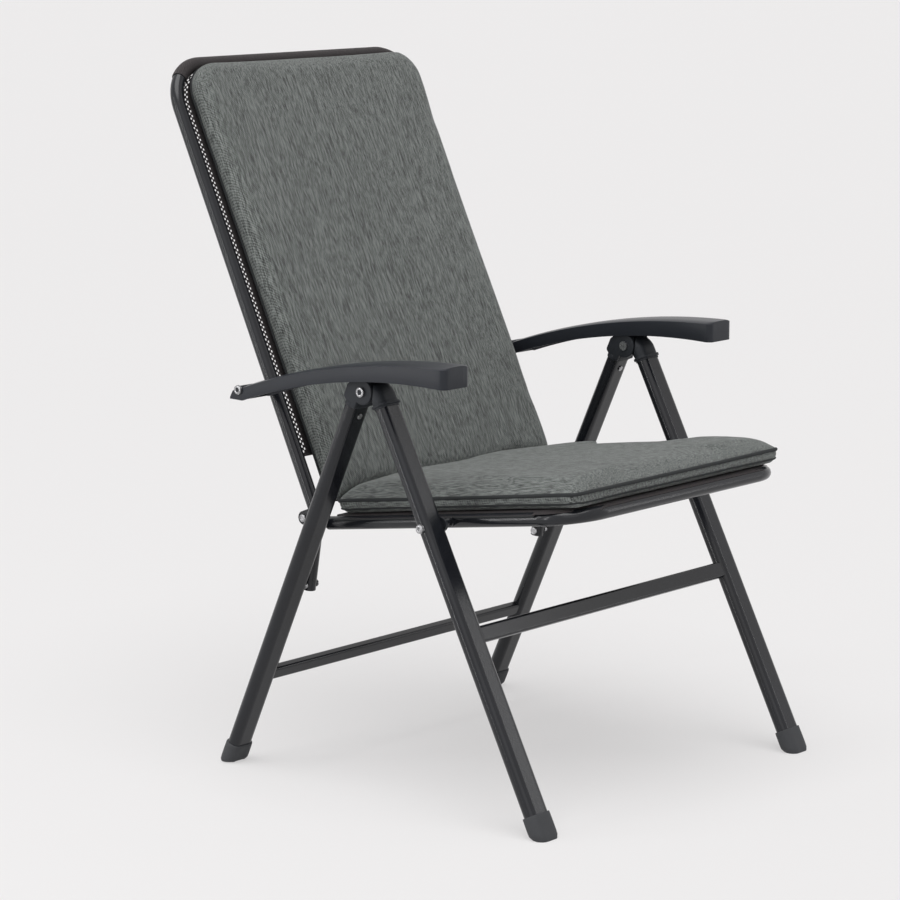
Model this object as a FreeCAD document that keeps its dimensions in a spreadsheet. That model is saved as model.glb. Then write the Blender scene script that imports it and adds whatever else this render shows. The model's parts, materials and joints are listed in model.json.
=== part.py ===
import FreeCAD, Part
import math
import os
import Sketcher

# Folding high-back garden chair with armrests, millimetres.
# Frame: +Z up, floor at z = 0, the sitter looks along -Y, +X is the sitter's left.
# The origin is on the floor under the middle of the whole chair.

V = FreeCAD.Vector
doc = FreeCAD.newDocument("FoldingChair")
sheet = doc.addObject("Spreadsheet::Sheet", "Sizes")

SIZES = [
    ("hinge_y", -63.5, "leg hinge line, forward of the middle"),
    ("hinge_height", 590.0, "leg hinge line above the floor"),
    ("leg_plane", 297.5, "middle of a leg tube from the centre plane"),
    ("leg_wide", 40.0, "flat-oval leg tube, across the chair"),
    ("leg_deep", 21.0, "flat-oval leg tube, fore and aft"),
    ("leg_wall", 1.5, "leg tube wall"),
    ("front_lean", 27.0, "front legs from vertical, degrees"),
    ("rear_lean", 24.4, "rear legs from vertical, degrees"),
    ("front_offset", 17.46, "front leg axis in front of the hinge line"),
    ("rear_offset", 15.1, "rear leg axis behind the hinge line"),
    ("fit", 0.3, "clearance of a pin, plug or sleeve"),
    ("running", 0.5, "side clearance between moving pieces"),
    ("cap_over", 2.6, "how far a foot cap or collar stands out from its tube"),
    ("cap_up", 31.0, "foot cap height above the floor at the leg axis"),
    ("cap_floor", 14.0, "rubber under the end of a leg tube"),
    ("cheek_radius", 18.5, "hinge cheek discs"),
    ("cheek_thick", 6.7, "hinge cheeks"),
    ("tongue_radius", 17.0, "hinge tongue disc"),
    ("hinge_pin", 4.5, "radius of the hinge rivet"),
    ("hinge_head", 7.0, "radius of a hinge rivet head"),
    ("socket_depth", 10.0, "leg tube inside a knuckle collar"),
    ("tube_top", 50.0, "top of the leg tubes below the hinge, along the leg"),
    ("knuckle_bolt", 45.0, "small rivet below the hinge, along the rear leg"),
    ("front_bar_at", 376.0, "front crossbar below the hinge, along the leg"),
    ("front_bar_tall", 24.0, "front crossbar height"),
    ("rear_bar_at", 498.5, "rear crossbar below the hinge, along the leg"),
    ("rear_bar_tall", 20.0, "rear crossbar height"),
    ("bar_deep", 14.0, "crossbars fore and aft"),
    ("bar_wall", 1.2, "crossbar wall"),
    ("back_pivot_at", 345.0, "back pivot below the hinge, along the rear leg"),
    ("recline", 25.4, "back from vertical, degrees"),
    ("back_forward", 58.7, "back frame plane in front of its pivot"),
    ("back_length", 794.0, "back pivot to the top bar, along the back"),
    ("back_bend", 35.0, "bend of the back tube above its pivot, degrees"),
    ("back_bend_radius", 60.0, "radius of that bend"),
    ("back_half", 261.5, "back tube from the centre plane"),
    ("back_corner", 66.0, "back frame top corner radius"),
    ("frame_tube", 10.0, "radius of the back and seat tubes"),
    ("frame_wall", 1.4, "wall of the back and seat tubes"),
    ("pivot_back", 42.6, "seat pivot in front of the back pivot, across the back"),
    ("pivot_up", 91.0, "seat pivot above the back pivot, along the back"),
    ("arm_pivot_up", 292.0, "armrest pivot above the back pivot, along the back"),
    ("pivot_pin", 3.2, "radius of the seat, back and armrest rivets"),
    ("pivot_head", 5.5, "radius of those rivets' heads"),
    ("eyelet", 10.0, "radius of the eyelets round the seat pivot"),
    ("plate", 2.7, "thickness of eyelet plates and of the cups' slotted layer"),
    ("seat_lean", 8.39, "seat slopes down to the rear, degrees"),
    ("seat_drop", 12.65, "seat rails below the seat pivot, square to the seat"),
    ("seat_reach", 484.0, "seat pivot to the front rail"),
    ("seat_tail", 24.0, "seat pivot to the rear end of a rail"),
    ("seat_half", 240.5, "seat rail from the centre plane"),
    ("seat_corner", 60.0, "seat frame corner radius"),
    ("peg", 4.0, "radius of a seat peg"),
    ("peg_flange", 6.5, "radius of the peg's disc"),
    ("peg_play", 2.2, "clearance round the peg in its open cup"),
    ("cup_radius", 10.5, "outside of the cup that carries a peg"),
    ("cup_open", 53.0, "opening direction of the cup, forward of the leg, degrees"),
    ("cup_floor", 2.0, "full layer of the cup against the leg"),
    ("sling", 1.4, "thickness of the woven slings"),
    ("sling_low", 178.0, "lower edge of the back sling above the back pivot"),
    ("arm_inner", 274.0, "inner face of an armrest from the centre plane"),
    ("arm_wide", 58.0, "armrest width"),
    ("arm_wall", 2.5, "armrest wall"),
    ("arm_front", 394.0, "armrest pivot to the front end"),
    ("arm_tail", 19.0, "armrest pivot to the tail end"),
    ("arm_radius", 1169.0, "radius of the armrest's upper line"),
    ("arm_under_radius", 1010.0, "radius of the armrest's lower line"),
    ("arm_roof", 7.0, "armrest roof thickness"),
    ("cushion_half", 238.0, "cushions from the centre plane"),
    ("seat_cushion", 42.0, "seat cushion thickness"),
    ("back_cushion", 40.0, "back cushion thickness"),
    ("cushion_corner", 45.0, "cushion corner radius"),
    ("cushion_gap", 0.5, "gap between a cushion and its sling"),
]


def as_text(number):
    """A number the way an expression holds it."""
    if number < 0:
        return "(%r)" % float(number)
    return "%r" % float(number)


class Size:
    """A length or angle with the expression that gives it."""

    def __init__(self, value, text=None):
        self.value = float(value)
        self.text = as_text(value) if text is None else text

    def __add__(self, other):
        other = size(other)
        return Size(self.value + other.value, "(%s + %s)" % (self.text, other.text))

    def __radd__(self, other):
        return size(other) + self

    def __sub__(self, other):
        other = size(other)
        return Size(self.value - other.value, "(%s - %s)" % (self.text, other.text))

    def __rsub__(self, other):
        return size(other) - self

    def __mul__(self, other):
        other = size(other)
        return Size(self.value * other.value, "(%s * %s)" % (self.text, other.text))

    def __rmul__(self, other):
        return size(other) * self

    def __truediv__(self, other):
        other = size(other)
        return Size(self.value / other.value, "(%s / %s)" % (self.text, other.text))

    def __neg__(self):
        return Size(0) - self


def size(thing):
    """Turn a plain number into a Size."""
    return thing if isinstance(thing, Size) else Size(thing)


def sine(angle):
    return Size(math.sin(math.radians(angle.value)), "sin(%s)" % angle.text)


def cosine(angle):
    return Size(math.cos(math.radians(angle.value)), "cos(%s)" % angle.text)


def tangent(angle):
    return Size(math.tan(math.radians(angle.value)), "tan(%s)" % angle.text)


def root(number):
    return Size(math.sqrt(number.value), "sqrt(%s)" % number.text)


sheet.set("A1", "name")
sheet.set("B1", "value")
sheet.set("C1", "meaning")
S = {}
for row, (name, number, note) in enumerate(SIZES, start=2):
    sheet.set("A%d" % row, name)
    sheet.set("B%d" % row, str(number))
    sheet.set("C%d" % row, note)
    sheet.setAlias("B%d" % row, name)
    S[name] = Size(number, "Sizes." + name)
doc.recompute()

# Pivot positions that follow from the sizes.
places = doc.addObject("App::VarSet", "Places")


def place(name, amount):
    """Keep a derived position as a property of the document."""
    places.addProperty("App::PropertyFloat", name, "Places")
    places.setExpression(name, amount.text)
    return Size(amount.value, "Places." + name)


def on_rear_leg(across, down):
    """Row position of a point in the rear legs' own frame."""
    lean = S["rear_lean"]
    y = S["hinge_y"] + across * cosine(lean) + down * sine(lean)
    z = S["hinge_height"] + across * sine(lean) - down * cosine(lean)
    return y, z


def on_back(across, up):
    """Row position of a point in the back's own frame, from the back pivot."""
    lean = S["recline"]
    y = back_y + across * cosine(lean) + up * sine(lean)
    z = back_z - across * sine(lean) + up * cosine(lean)
    return y, z


point = on_rear_leg(S["rear_offset"], S["back_pivot_at"])
back_y = place("back_pivot_y", point[0])
back_z = place("back_pivot_z", point[1])
point = on_back(-S["pivot_back"], S["pivot_up"])
seat_y = place("seat_pivot_y", point[0])
seat_z = place("seat_pivot_z", point[1])
point = on_back(-S["back_forward"], S["arm_pivot_up"])
arm_y = place("arm_pivot_y", point[0])
arm_z = place("arm_pivot_z", point[1])
# The peg is where the seat rail line crosses the front leg axis.
rail_y = seat_y - S["hinge_y"] - S["seat_drop"] * sine(S["seat_lean"])
rail_z = seat_z - S["hinge_height"] - S["seat_drop"] * cosine(S["seat_lean"])
along = (rail_y * cosine(S["front_lean"]) - rail_z * sine(S["front_lean"]) + S["front_offset"])
along = along / cosine(S["front_lean"] - S["seat_lean"])
peg_along = place("peg_forward", along)
peg_down = (peg_along * cosine(S["seat_lean"]) - rail_y) * sine(S["front_lean"])
peg_down = peg_down - (rail_z + peg_along * sine(S["seat_lean"])) * cosine(S["front_lean"])
peg_down = place("peg_down_the_leg", peg_down)

FRAMES = {
    "row": (Size(0), Size(0), None, 1),
    "front": (S["hinge_y"], S["hinge_height"], S["front_lean"], -1),
    "rear": (S["hinge_y"], S["hinge_height"], S["rear_lean"], 1),
    "back": (back_y, back_z, S["recline"], -1),
    "seat": (seat_y, seat_z, S["seat_lean"], -1),
    "arm": (arm_y, arm_z, None, 1),
}
NODES = []
SIDES = (("left", 1), ("right", -1))


def set_placement(thing, frame):
    """Put an object in one of the chair's frames."""
    y, z, angle, turn = FRAMES[frame]
    turned = 0 if angle is None else angle.value
    spin = FreeCAD.Rotation(V(turn, 0, 0), turned)
    thing.Placement = FreeCAD.Placement(V(0, y.value, z.value), spin)
    thing.setExpression("Placement.Base.y", y.text)
    thing.setExpression("Placement.Base.z", z.text)
    if angle is not None:
        thing.setExpression("Placement.Rotation.Angle", angle.text)


def new_body(label, frame):
    """A body that becomes one file."""
    body = doc.addObject("PartDesign::Body", label)
    body.Label = label
    set_placement(body, frame)
    NODES.append(body)
    return body


def new_sketch(body, plane, offset=0):
    """An empty sketch on one of the body's own planes."""
    offset = size(offset)
    sketch = body.newObject("Sketcher::SketchObject", body.Name + "_sketch")
    support = [f for f in body.Origin.OriginFeatures if f.Role == plane][0]
    sketch.AttachmentSupport = [(support, "")]
    sketch.MapMode = "FlatFace"
    sketch.AttachmentOffset = FreeCAD.Placement(V(0, 0, offset.value), FreeCAD.Rotation())
    sketch.setExpression("AttachmentOffset.Base.z", offset.text)
    return sketch


def bind(sketch, kind, geometry, position, amount):
    """Fix one coordinate of a sketch point from the sketch origin."""
    number = Sketcher.Constraint(kind, -1, 1, geometry, position, amount.value)
    index = sketch.addConstraint(number)
    sketch.setExpression("Constraints[%d]" % index, amount.text)


def circle(sketch, u, v, radius):
    """A full circle with bound centre and radius."""
    u = size(u)
    v = size(v)
    radius = size(radius)
    shape = Part.Circle(V(u.value, v.value, 0), V(0, 0, 1), radius.value)
    index = sketch.addGeometry(shape, False)
    bind(sketch, "DistanceX", index, 3, u)
    bind(sketch, "DistanceY", index, 3, v)
    number = sketch.addConstraint(Sketcher.Constraint("Radius", index, radius.value))
    sketch.setExpression("Constraints[%d]" % number, radius.text)


def add_arc(sketch, start, end, arc):
    """One arc given by centre, radius and direction, with its bound centre."""
    u, v, radius = [size(item) for item in arc[:3]]
    turn = arc[3]
    first = math.atan2(start[1].value - v.value, start[0].value - u.value)
    last = math.atan2(end[1].value - v.value, end[0].value - u.value)
    if turn < 0:
        first, last = last, first
    if last <= first:
        last += 2 * math.pi
    base = Part.Circle(V(u.value, v.value, 0), V(0, 0, 1), radius.value)
    index = sketch.addGeometry(Part.ArcOfCircle(base, first, last), False)
    bind(sketch, "DistanceX", index, 3, u)
    bind(sketch, "DistanceY", index, 3, v)
    number = sketch.addConstraint(Sketcher.Constraint("Radius", index, radius.value))
    sketch.setExpression("Constraints[%d]" % number, radius.text)
    return index, (1, 2) if turn > 0 else (2, 1)


def path(sketch, points, arcs=None, closed=True):
    """Lines and arcs through points; arcs[i] replaces the line after point i."""
    arcs = arcs or {}
    points = [(size(u), size(v)) for u, v in points]
    count = len(points)
    edges = []
    for i in range(count if closed else count - 1):
        start = points[i]
        end = points[(i + 1) % count]
        if i in arcs:
            edges.append(add_arc(sketch, start, end, arcs[i]))
        else:
            line = Part.LineSegment(V(start[0].value, start[1].value, 0),
                                    V(end[0].value, end[1].value, 0))
            edges.append((sketch.addGeometry(line, False), (1, 2)))
    for i in range(count if closed else count - 2):
        edge, ends = edges[i]
        other, starts = edges[(i + 1) % len(edges)]
        sketch.addConstraint(Sketcher.Constraint("Coincident", edge, ends[1], other, starts[0]))
    for i, (u, v) in enumerate(points):
        edge, ends = edges[min(i, len(edges) - 1)]
        position = ends[0] if i < len(edges) else ends[1]
        before = (i - 1) % count
        arc = arcs.get(i, arcs.get(before) if closed or i else None)
        if arc is None:
            bind(sketch, "DistanceX", edge, position, u)
            bind(sketch, "DistanceY", edge, position, v)
        elif abs(v.value - size(arc[1]).value) > abs(u.value - size(arc[0]).value):
            bind(sketch, "DistanceX", edge, position, u)
        else:
            bind(sketch, "DistanceY", edge, position, v)


def stadium(sketch, u, v, wide, deep):
    """A flat oval round (u, v)."""
    half = wide / 2
    radius = deep / 2
    reach = half - radius
    points = [(u + reach, v - radius), (u + reach, v + radius),
              (u - reach, v + radius), (u - reach, v - radius)]
    path(sketch, points, {0: (u + reach, v, radius, 1), 2: (u - reach, v, radius, 1)})


def rounded(sketch, low_u, low_v, high_u, high_v, radius):
    """A rectangle with four round corners."""
    r = size(radius)
    points = [(low_u + r, low_v), (high_u - r, low_v), (high_u, low_v + r), (high_u, high_v - r),
              (high_u - r, high_v), (low_u + r, high_v), (low_u, high_v - r), (low_u, low_v + r)]
    arcs = {1: (high_u - r, low_v + r, r, 1), 3: (high_u - r, high_v - r, r, 1),
            5: (low_u + r, high_v - r, r, 1), 7: (low_u + r, low_v + r, r, 1)}
    path(sketch, points, arcs)


def pad(body, sketch, length, middle=False):
    """Extrude a sketch along its normal."""
    length = size(length)
    feature = body.newObject("PartDesign::Pad", body.Name + "_pad")
    feature.Profile = sketch
    feature.Length = length.value
    feature.setExpression("Length", length.text)
    feature.Midplane = middle
    return feature


def pocket(body, sketch, length, middle=False):
    """Cut a sketch into the body along its normal."""
    length = size(length)
    feature = body.newObject("PartDesign::Pocket", body.Name + "_pocket")
    feature.Profile = sketch
    feature.Length = length.value
    feature.setExpression("Length", length.text)
    feature.Reversed = True
    feature.Midplane = middle
    return feature


def soften(body, radius, chosen):
    """Round the edges that a test picks out."""
    doc.recompute()
    base = body.Tip
    names = []
    for index, edge in enumerate(base.Shape.Edges, start=1):
        if chosen(edge):
            names.append("Edge%d" % index)
    feature = body.newObject("PartDesign::Fillet", body.Name + "_fillet")
    feature.Base = (base, names)
    feature.Radius = radius
    return feature


def across(side, inner, outer):
    """Start and length of a span given by distances from the centre plane."""
    inner = size(inner)
    outer = size(outer)
    start = inner if side > 0 else -outer
    return start, outer - inner


def pin(label, side, inner, outer, y, z, radius):
    """A cylinder across the chair between two distances from the centre plane."""
    start, length = across(side, inner, outer)
    radius = size(radius)
    thing = doc.addObject("Part::Cylinder", label)
    thing.Radius = radius.value
    thing.Height = length.value
    thing.setExpression("Radius", radius.text)
    thing.setExpression("Height", length.text)
    spin = FreeCAD.Rotation(V(0, 1, 0), 90)
    thing.Placement = FreeCAD.Placement(V(start.value, y.value, z.value), spin)
    thing.setExpression("Placement.Base.x", start.text)
    thing.setExpression("Placement.Base.y", y.text)
    thing.setExpression("Placement.Base.z", z.text)
    return thing


def rivet(name, side, shaft, heads, y, z, radius, head_radius):
    """A turned rivet: a shaft and its wider discs in one piece."""
    pieces = [pin(name + "_shaft", side, shaft[0], shaft[1], y, z, radius)]
    for index, (inner, outer) in enumerate(heads):
        pieces.append(pin("%s_head%d" % (name, index), side, inner, outer, y, z, head_radius))
    joined = doc.addObject("Part::MultiFuse", name)
    joined.Shapes = pieces
    return joined


def pair(label, pieces):
    """Two like fasteners, one on each side, in one file."""
    group = doc.addObject("Part::Compound", label)
    group.Label = label
    group.Links = pieces
    NODES.append(group)
    return group


# ---- legs ---------------------------------------------------------------------------------
leg_half = S["leg_wide"] / 2
leg_in = S["leg_plane"] - leg_half
leg_out = S["leg_plane"] + leg_half
front_w = -S["front_offset"]
rear_w = S["rear_offset"]
front_end = place("front_leg_end", (S["hinge_height"] + S["front_offset"] * sine(S["front_lean"]))
                  / cosine(S["front_lean"]))
rear_end = place("rear_leg_end", (S["hinge_height"] + S["rear_offset"] * sine(S["rear_lean"]))
                 / cosine(S["rear_lean"]))
LEGS = {
    "front": (front_w, front_end, S["front_lean"], -1),
    "rear": (rear_w, rear_end, S["rear_lean"], 1),
}


def make_leg(name, side, kind):
    """A hollow flat-oval leg tube from under the hinge to inside its foot cap."""
    w, end, lean, turn = LEGS[kind]
    x = S["leg_plane"] * side
    bottom = end - S["cap_floor"]
    body = new_body("%s_%s_leg" % (name, kind), kind)
    sketch = new_sketch(body, "XY_Plane", -bottom)
    stadium(sketch, x, w, S["leg_wide"], S["leg_deep"])
    inner_wide = S["leg_wide"] - S["leg_wall"] * 2
    inner_deep = S["leg_deep"] - S["leg_wall"] * 2
    stadium(sketch, x, w, inner_wide, inner_deep)
    pad(body, sketch, bottom - S["tube_top"])
    start, length = across(side, leg_in - 5, leg_out + 5)
    sketch = new_sketch(body, "YZ_Plane", start)
    if kind == "front":
        circle(sketch, w, -peg_down, S["peg"] + S["fit"] / 2)
        pocket(body, sketch, length)
    else:
        circle(sketch, w, -S["back_pivot_at"], S["pivot_pin"] + S["fit"])
        if side > 0:
            pocket(body, sketch, leg_half)
        else:
            doc.recompute()
            sketch.AttachmentOffset = FreeCAD.Placement(V(0, 0, 0), FreeCAD.Rotation())
            sketch.setExpression("AttachmentOffset.Base.z", (-S["leg_plane"]).text)
            pocket(body, sketch, leg_half + 5)
    return body


def make_foot(name, side, kind):
    """A rubber cap over the leg's end, cut level with the floor."""
    w, end, lean, turn = LEGS[kind]
    x = S["leg_plane"] * side
    over = S["cap_over"] * 2
    low = end + S["leg_deep"] * tangent(lean)
    top = end - S["cap_up"] / cosine(lean)
    body = new_body("%s_%s_foot" % (name, kind), kind)
    sketch = new_sketch(body, "XY_Plane", -low)
    stadium(sketch, x, w, S["leg_wide"] + over, S["leg_deep"] + over)
    pad(body, sketch, low - top)
    sketch = new_sketch(body, "XY_Plane", -(end - S["cap_floor"] + S["fit"]))
    wide = S["leg_wide"] + S["fit"]
    stadium(sketch, x, w, wide, S["leg_deep"] + S["fit"])
    pocket(body, sketch, S["cap_up"] * 2)
    # Everything below the floor line is cut away.
    slope = tangent(lean) * turn
    left = w - 40
    right = w + 40
    sketch = new_sketch(body, "YZ_Plane", (S["leg_plane"] * side) - 60)
    path(sketch, [(left, -end + slope * (w - left)), (left, -end - 90),
                  (right, -end - 90), (right, -end + slope * (w - right))])
    pocket(body, sketch, 120)
    return body


def make_crossbar(kind, at, tall):
    """A flat-faced bar between two legs, coped to their oval tubes."""
    w = LEGS[kind][0]
    body = new_body("%s_crossbar" % kind, kind)
    sketch = new_sketch(body, "YZ_Plane", -(leg_in + 6))
    half = tall / 2
    deep = S["bar_deep"] / 2
    wall = S["bar_wall"]
    rounded(sketch, w - deep, -at - half, w + deep, -at + half, 4)
    rounded(sketch, w - deep + wall, -at - half + wall, w + deep - wall, -at + half - wall, 2.8)
    pad(body, sketch, (leg_in + 6) * 2)
    sketch = new_sketch(body, "XY_Plane", -at - tall)
    for side in (1, -1):
        wide = S["leg_wide"] + S["fit"]
        stadium(sketch, S["leg_plane"] * side, w, wide, S["leg_deep"] + S["fit"])
    pocket(body, sketch, tall * 2)
    return body


def make_elbow(name, side):
    """The front leg's top fitting: hinge tongue, quarter bend and collar."""
    w = front_w
    x = S["leg_plane"] * side
    tongue = S["leg_wide"] - S["cheek_thick"] * 2 - S["running"] * 2
    body = new_body("%s_front_elbow" % name, "front")
    top = S["tube_top"]
    deep = S["leg_deep"] / 2 + S["cap_over"]
    clear = S["cheek_radius"] + 1.7
    # wide quarter bend, kept outside the cheeks' sweep
    sketch = new_sketch(body, "YZ_Plane", x - leg_half)
    upper_v = -root(clear * clear - (w - 2) * (w - 2))
    lower_v = -root(clear * clear - 3.6 * 3.6)
    points = [(w - 2, upper_v), (w - 8, upper_v - 1.5), (w - deep, -16.0),
              (w - deep, -top), (-3.6, -top), (-3.6, lower_v)]
    path(sketch, points, {5: (0, 0, clear, -1)})
    pad(body, sketch, S["leg_wide"])
    # collar round the tube
    sketch = new_sketch(body, "XY_Plane", -(top + S["socket_depth"]))
    over = S["cap_over"] * 2
    stadium(sketch, x, w, S["leg_wide"] + over, S["leg_deep"] + over)
    pad(body, sketch, S["socket_depth"] + 4)
    # tongue that reaches between the cheeks
    sketch = new_sketch(body, "YZ_Plane", x - tongue / 2)
    r = S["tongue_radius"]
    path(sketch, [(r * -0.9, r * 0.436), (-26, -20), (-26, -34), (-3.7, -34), (-3.7, r * -0.976)],
         {4: (0, 0, r, 1)})
    pad(body, sketch, tongue)
    sketch = new_sketch(body, "XY_Plane", -(top + S["socket_depth"] + 1))
    wide = S["leg_wide"] + S["fit"]
    stadium(sketch, x, w, wide, S["leg_deep"] + S["fit"])
    pocket(body, sketch, S["socket_depth"] + 1)
    sketch = new_sketch(body, "YZ_Plane", x - S["leg_wide"])
    circle(sketch, 0, 0, S["hinge_pin"] + S["fit"])
    pocket(body, sketch, S["leg_wide"] * 2)
    return body


def make_knuckle(name, side):
    """The rear leg's top fitting: two hinge cheeks over a block with a collar."""
    w = rear_w
    x = S["leg_plane"] * side
    body = new_body("%s_rear_knuckle" % name, "rear")
    top = S["tube_top"]
    deep = S["leg_deep"] / 2 + S["cap_over"]
    clear = S["tongue_radius"] + 4.2
    sketch = new_sketch(body, "YZ_Plane", x - leg_half)
    inner_v = -root(clear * clear - 2.5 * 2.5)
    path(sketch, [(2.5, inner_v), (2.5, -top), (w + deep, -top), (w + deep, -12.0),
                  (w + deep - 2, -5.0), (20.6, -root(clear * clear - 20.6 * 20.6))],
         {5: (0, 0, clear, -1)})
    pad(body, sketch, S["leg_wide"])
    r = S["cheek_radius"]
    for start in (x - leg_half, x + leg_half - S["cheek_thick"]):
        sketch = new_sketch(body, "YZ_Plane", start)
        path(sketch, [(r * 0.985, r * 0.174), (2.6, -root(r * r - 2.6 * 2.6)), (2.6, -30),
                      (w + deep - 1, -30), (w + deep - 1, -9), (w + deep - 5, -3)],
             {0: (0, 0, r, 1)})
        pad(body, sketch, S["cheek_thick"])
    sketch = new_sketch(body, "XY_Plane", -(top + S["socket_depth"]))
    over = S["cap_over"] * 2
    stadium(sketch, x, w, S["leg_wide"] + over * 0.5, S["leg_deep"] + over * 0.5)
    pad(body, sketch, S["socket_depth"] + 4)
    sketch = new_sketch(body, "XY_Plane", -(top + S["socket_depth"] + 1))
    wide = S["leg_wide"] + S["fit"]
    stadium(sketch, x, w, wide, S["leg_deep"] + S["fit"])
    pocket(body, sketch, S["socket_depth"] + 1)
    sketch = new_sketch(body, "YZ_Plane", x - S["leg_wide"])
    circle(sketch, 0, 0, S["hinge_pin"] + S["fit"])
    pocket(body, sketch, S["leg_wide"] * 2)
    sketch = new_sketch(body, "XZ_Plane", -w - S["leg_deep"])
    circle(sketch, x, -S["knuckle_bolt"], S["pivot_pin"] * 0.8 + S["fit"] / 2)
    pocket(body, sketch, S["leg_deep"] * 2)
    return body


for side_name, side_sign in SIDES:
    make_leg(side_name, side_sign, "front")
    make_leg(side_name, side_sign, "rear")
    make_foot(side_name, side_sign, "front")
    make_foot(side_name, side_sign, "rear")
    make_elbow(side_name, side_sign)
    make_knuckle(side_name, side_sign)
make_crossbar("front", S["front_bar_at"], S["front_bar_tall"])
make_crossbar("rear", S["rear_bar_at"], S["rear_bar_tall"])

# ---- back frame ---------------------------------------------------------------------------
tube = S["frame_tube"]
bore = S["frame_tube"] - S["frame_wall"]
plane_y = -S["back_forward"]
bend_half = S["back_bend"] / 2
bend_reach = S["back_bend_radius"] * tangent(bend_half)
corner_up = S["back_forward"] / tangent(S["back_bend"]) + 2.3
straight_from = corner_up + bend_reach
top_up = S["back_length"]
corner_from = top_up - S["back_corner"]

back = new_body("back_frame", "back")
spine = new_sketch(back, "XZ_Plane", S["back_forward"])
half = S["back_half"]
turn_x = half - S["back_corner"]
path(spine, [(-half, straight_from), (-half, corner_from), (-turn_x, top_up), (turn_x, top_up),
             (half, corner_from), (half, straight_from)],
     {1: (-turn_x, corner_from, S["back_corner"], -1),
      3: (turn_x, corner_from, S["back_corner"], -1)}, closed=False)
ring = new_sketch(back, "XY_Plane", straight_from)
circle(ring, -half, plane_y, tube)
circle(ring, -half, plane_y, bore)
pipe = back.newObject("PartDesign::AdditivePipe", "back_pipe")
pipe.Profile = ring
pipe.Spine = (spine, [])
for side_sign in (1, -1):
    spine = new_sketch(back, "YZ_Plane", half * side_sign)
    bend = S["back_bend_radius"]
    low_y = plane_y + bend_reach * sine(S["back_bend"])
    low_z = corner_up - bend_reach * cosine(S["back_bend"])
    run = S["back_forward"] / sine(S["back_bend"]) + 10 - bend_reach
    end_y = low_y + run * sine(S["back_bend"])
    end_z = low_z - run * cosine(S["back_bend"])
    path(spine, [(plane_y, straight_from), (low_y, low_z), (end_y, end_z)],
         {0: (plane_y + bend, straight_from, bend, 1)}, closed=False)
    ring = new_sketch(back, "XY_Plane", straight_from)
    circle(ring, half * side_sign, plane_y, tube)
    circle(ring, half * side_sign, plane_y, bore)
    pipe = back.newObject("PartDesign::AdditivePipe", "back_leg_pipe")
    pipe.Profile = ring
    pipe.Spine = (spine, [])
for v, u in ((0, 0), (S["arm_pivot_up"], plane_y)):
    sketch = new_sketch(back, "YZ_Plane", 0)
    circle(sketch, u, v, S["pivot_pin"] + S["fit"])
    pocket(back, sketch, half * 2 + tube * 4, middle=True)


def make_lug(name, side):
    """An eyelet plate on the outside of the back tube for the seat pivot."""
    body = new_body("%s_back_lug" % name, "back")
    start, length = across(side, half + tube + 0.2, half + tube + 0.2 + S["plate"])
    sketch = new_sketch(body, "YZ_Plane", start)
    r = S["eyelet"]
    u = -S["pivot_back"]
    v = S["pivot_up"]
    path(sketch, [(u, v - r), (u, v + r), (plane_y - 4, v + r - 1), (plane_y - 4, v - r + 1)],
         {0: (u, v, r, 1)})
    pad(body, sketch, length)
    sketch = new_sketch(body, "YZ_Plane", start - 1)
    circle(sketch, u, v, S["pivot_pin"] + S["fit"])
    pocket(body, sketch, length + 2)
    return body


for side_name, side_sign in SIDES:
    make_lug(side_name, side_sign)

# woven back sling with a sleeve round the top bar
sling = new_body("back_sling", "back")
sketch = new_sketch(sling, "XZ_Plane", S["back_forward"] - S["sling"] / 2)
edge = half - tube - S["fit"]
inner_r = S["back_corner"] - tube - S["fit"]
path(sketch, [(-edge, S["sling_low"]), (edge, S["sling_low"]), (edge, corner_from),
              (turn_x, corner_from + inner_r), (-turn_x, corner_from + inner_r),
              (-edge, corner_from)],
     {2: (turn_x, corner_from, inner_r, 1), 4: (-turn_x, corner_from, inner_r, 1)})
pad(sling, sketch, S["sling"])
sleeve = turn_x - 4
sketch = new_sketch(sling, "YZ_Plane", -sleeve)
circle(sketch, plane_y, top_up, tube + S["sling"] + 0.2)
circle(sketch, plane_y, top_up, tube + 0.2)
pad(sling, sketch, sleeve * 2)

# ---- seat ---------------------------------------------------------------------------------
rail_v = -S["seat_drop"]
seat = new_body("seat_frame", "seat")
spine = new_sketch(seat, "XY_Plane", rail_v)
sh = S["seat_half"]
front_y = -S["seat_reach"]
sr = S["seat_corner"]
path(spine, [(-sh, -S["seat_tail"]), (-sh, front_y + sr), (sr - sh, front_y), (sh - sr, front_y),
             (sh, front_y + sr), (sh, -S["seat_tail"])],
     {1: (sr - sh, front_y + sr, sr, 1), 3: (sh - sr, front_y + sr, sr, 1)}, closed=False)
ring = new_sketch(seat, "XZ_Plane", S["seat_tail"])
circle(ring, -sh, rail_v, tube)
circle(ring, -sh, rail_v, bore)
pipe = seat.newObject("PartDesign::AdditivePipe", "seat_pipe")
pipe.Profile = ring
pipe.Spine = (spine, [])


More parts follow.
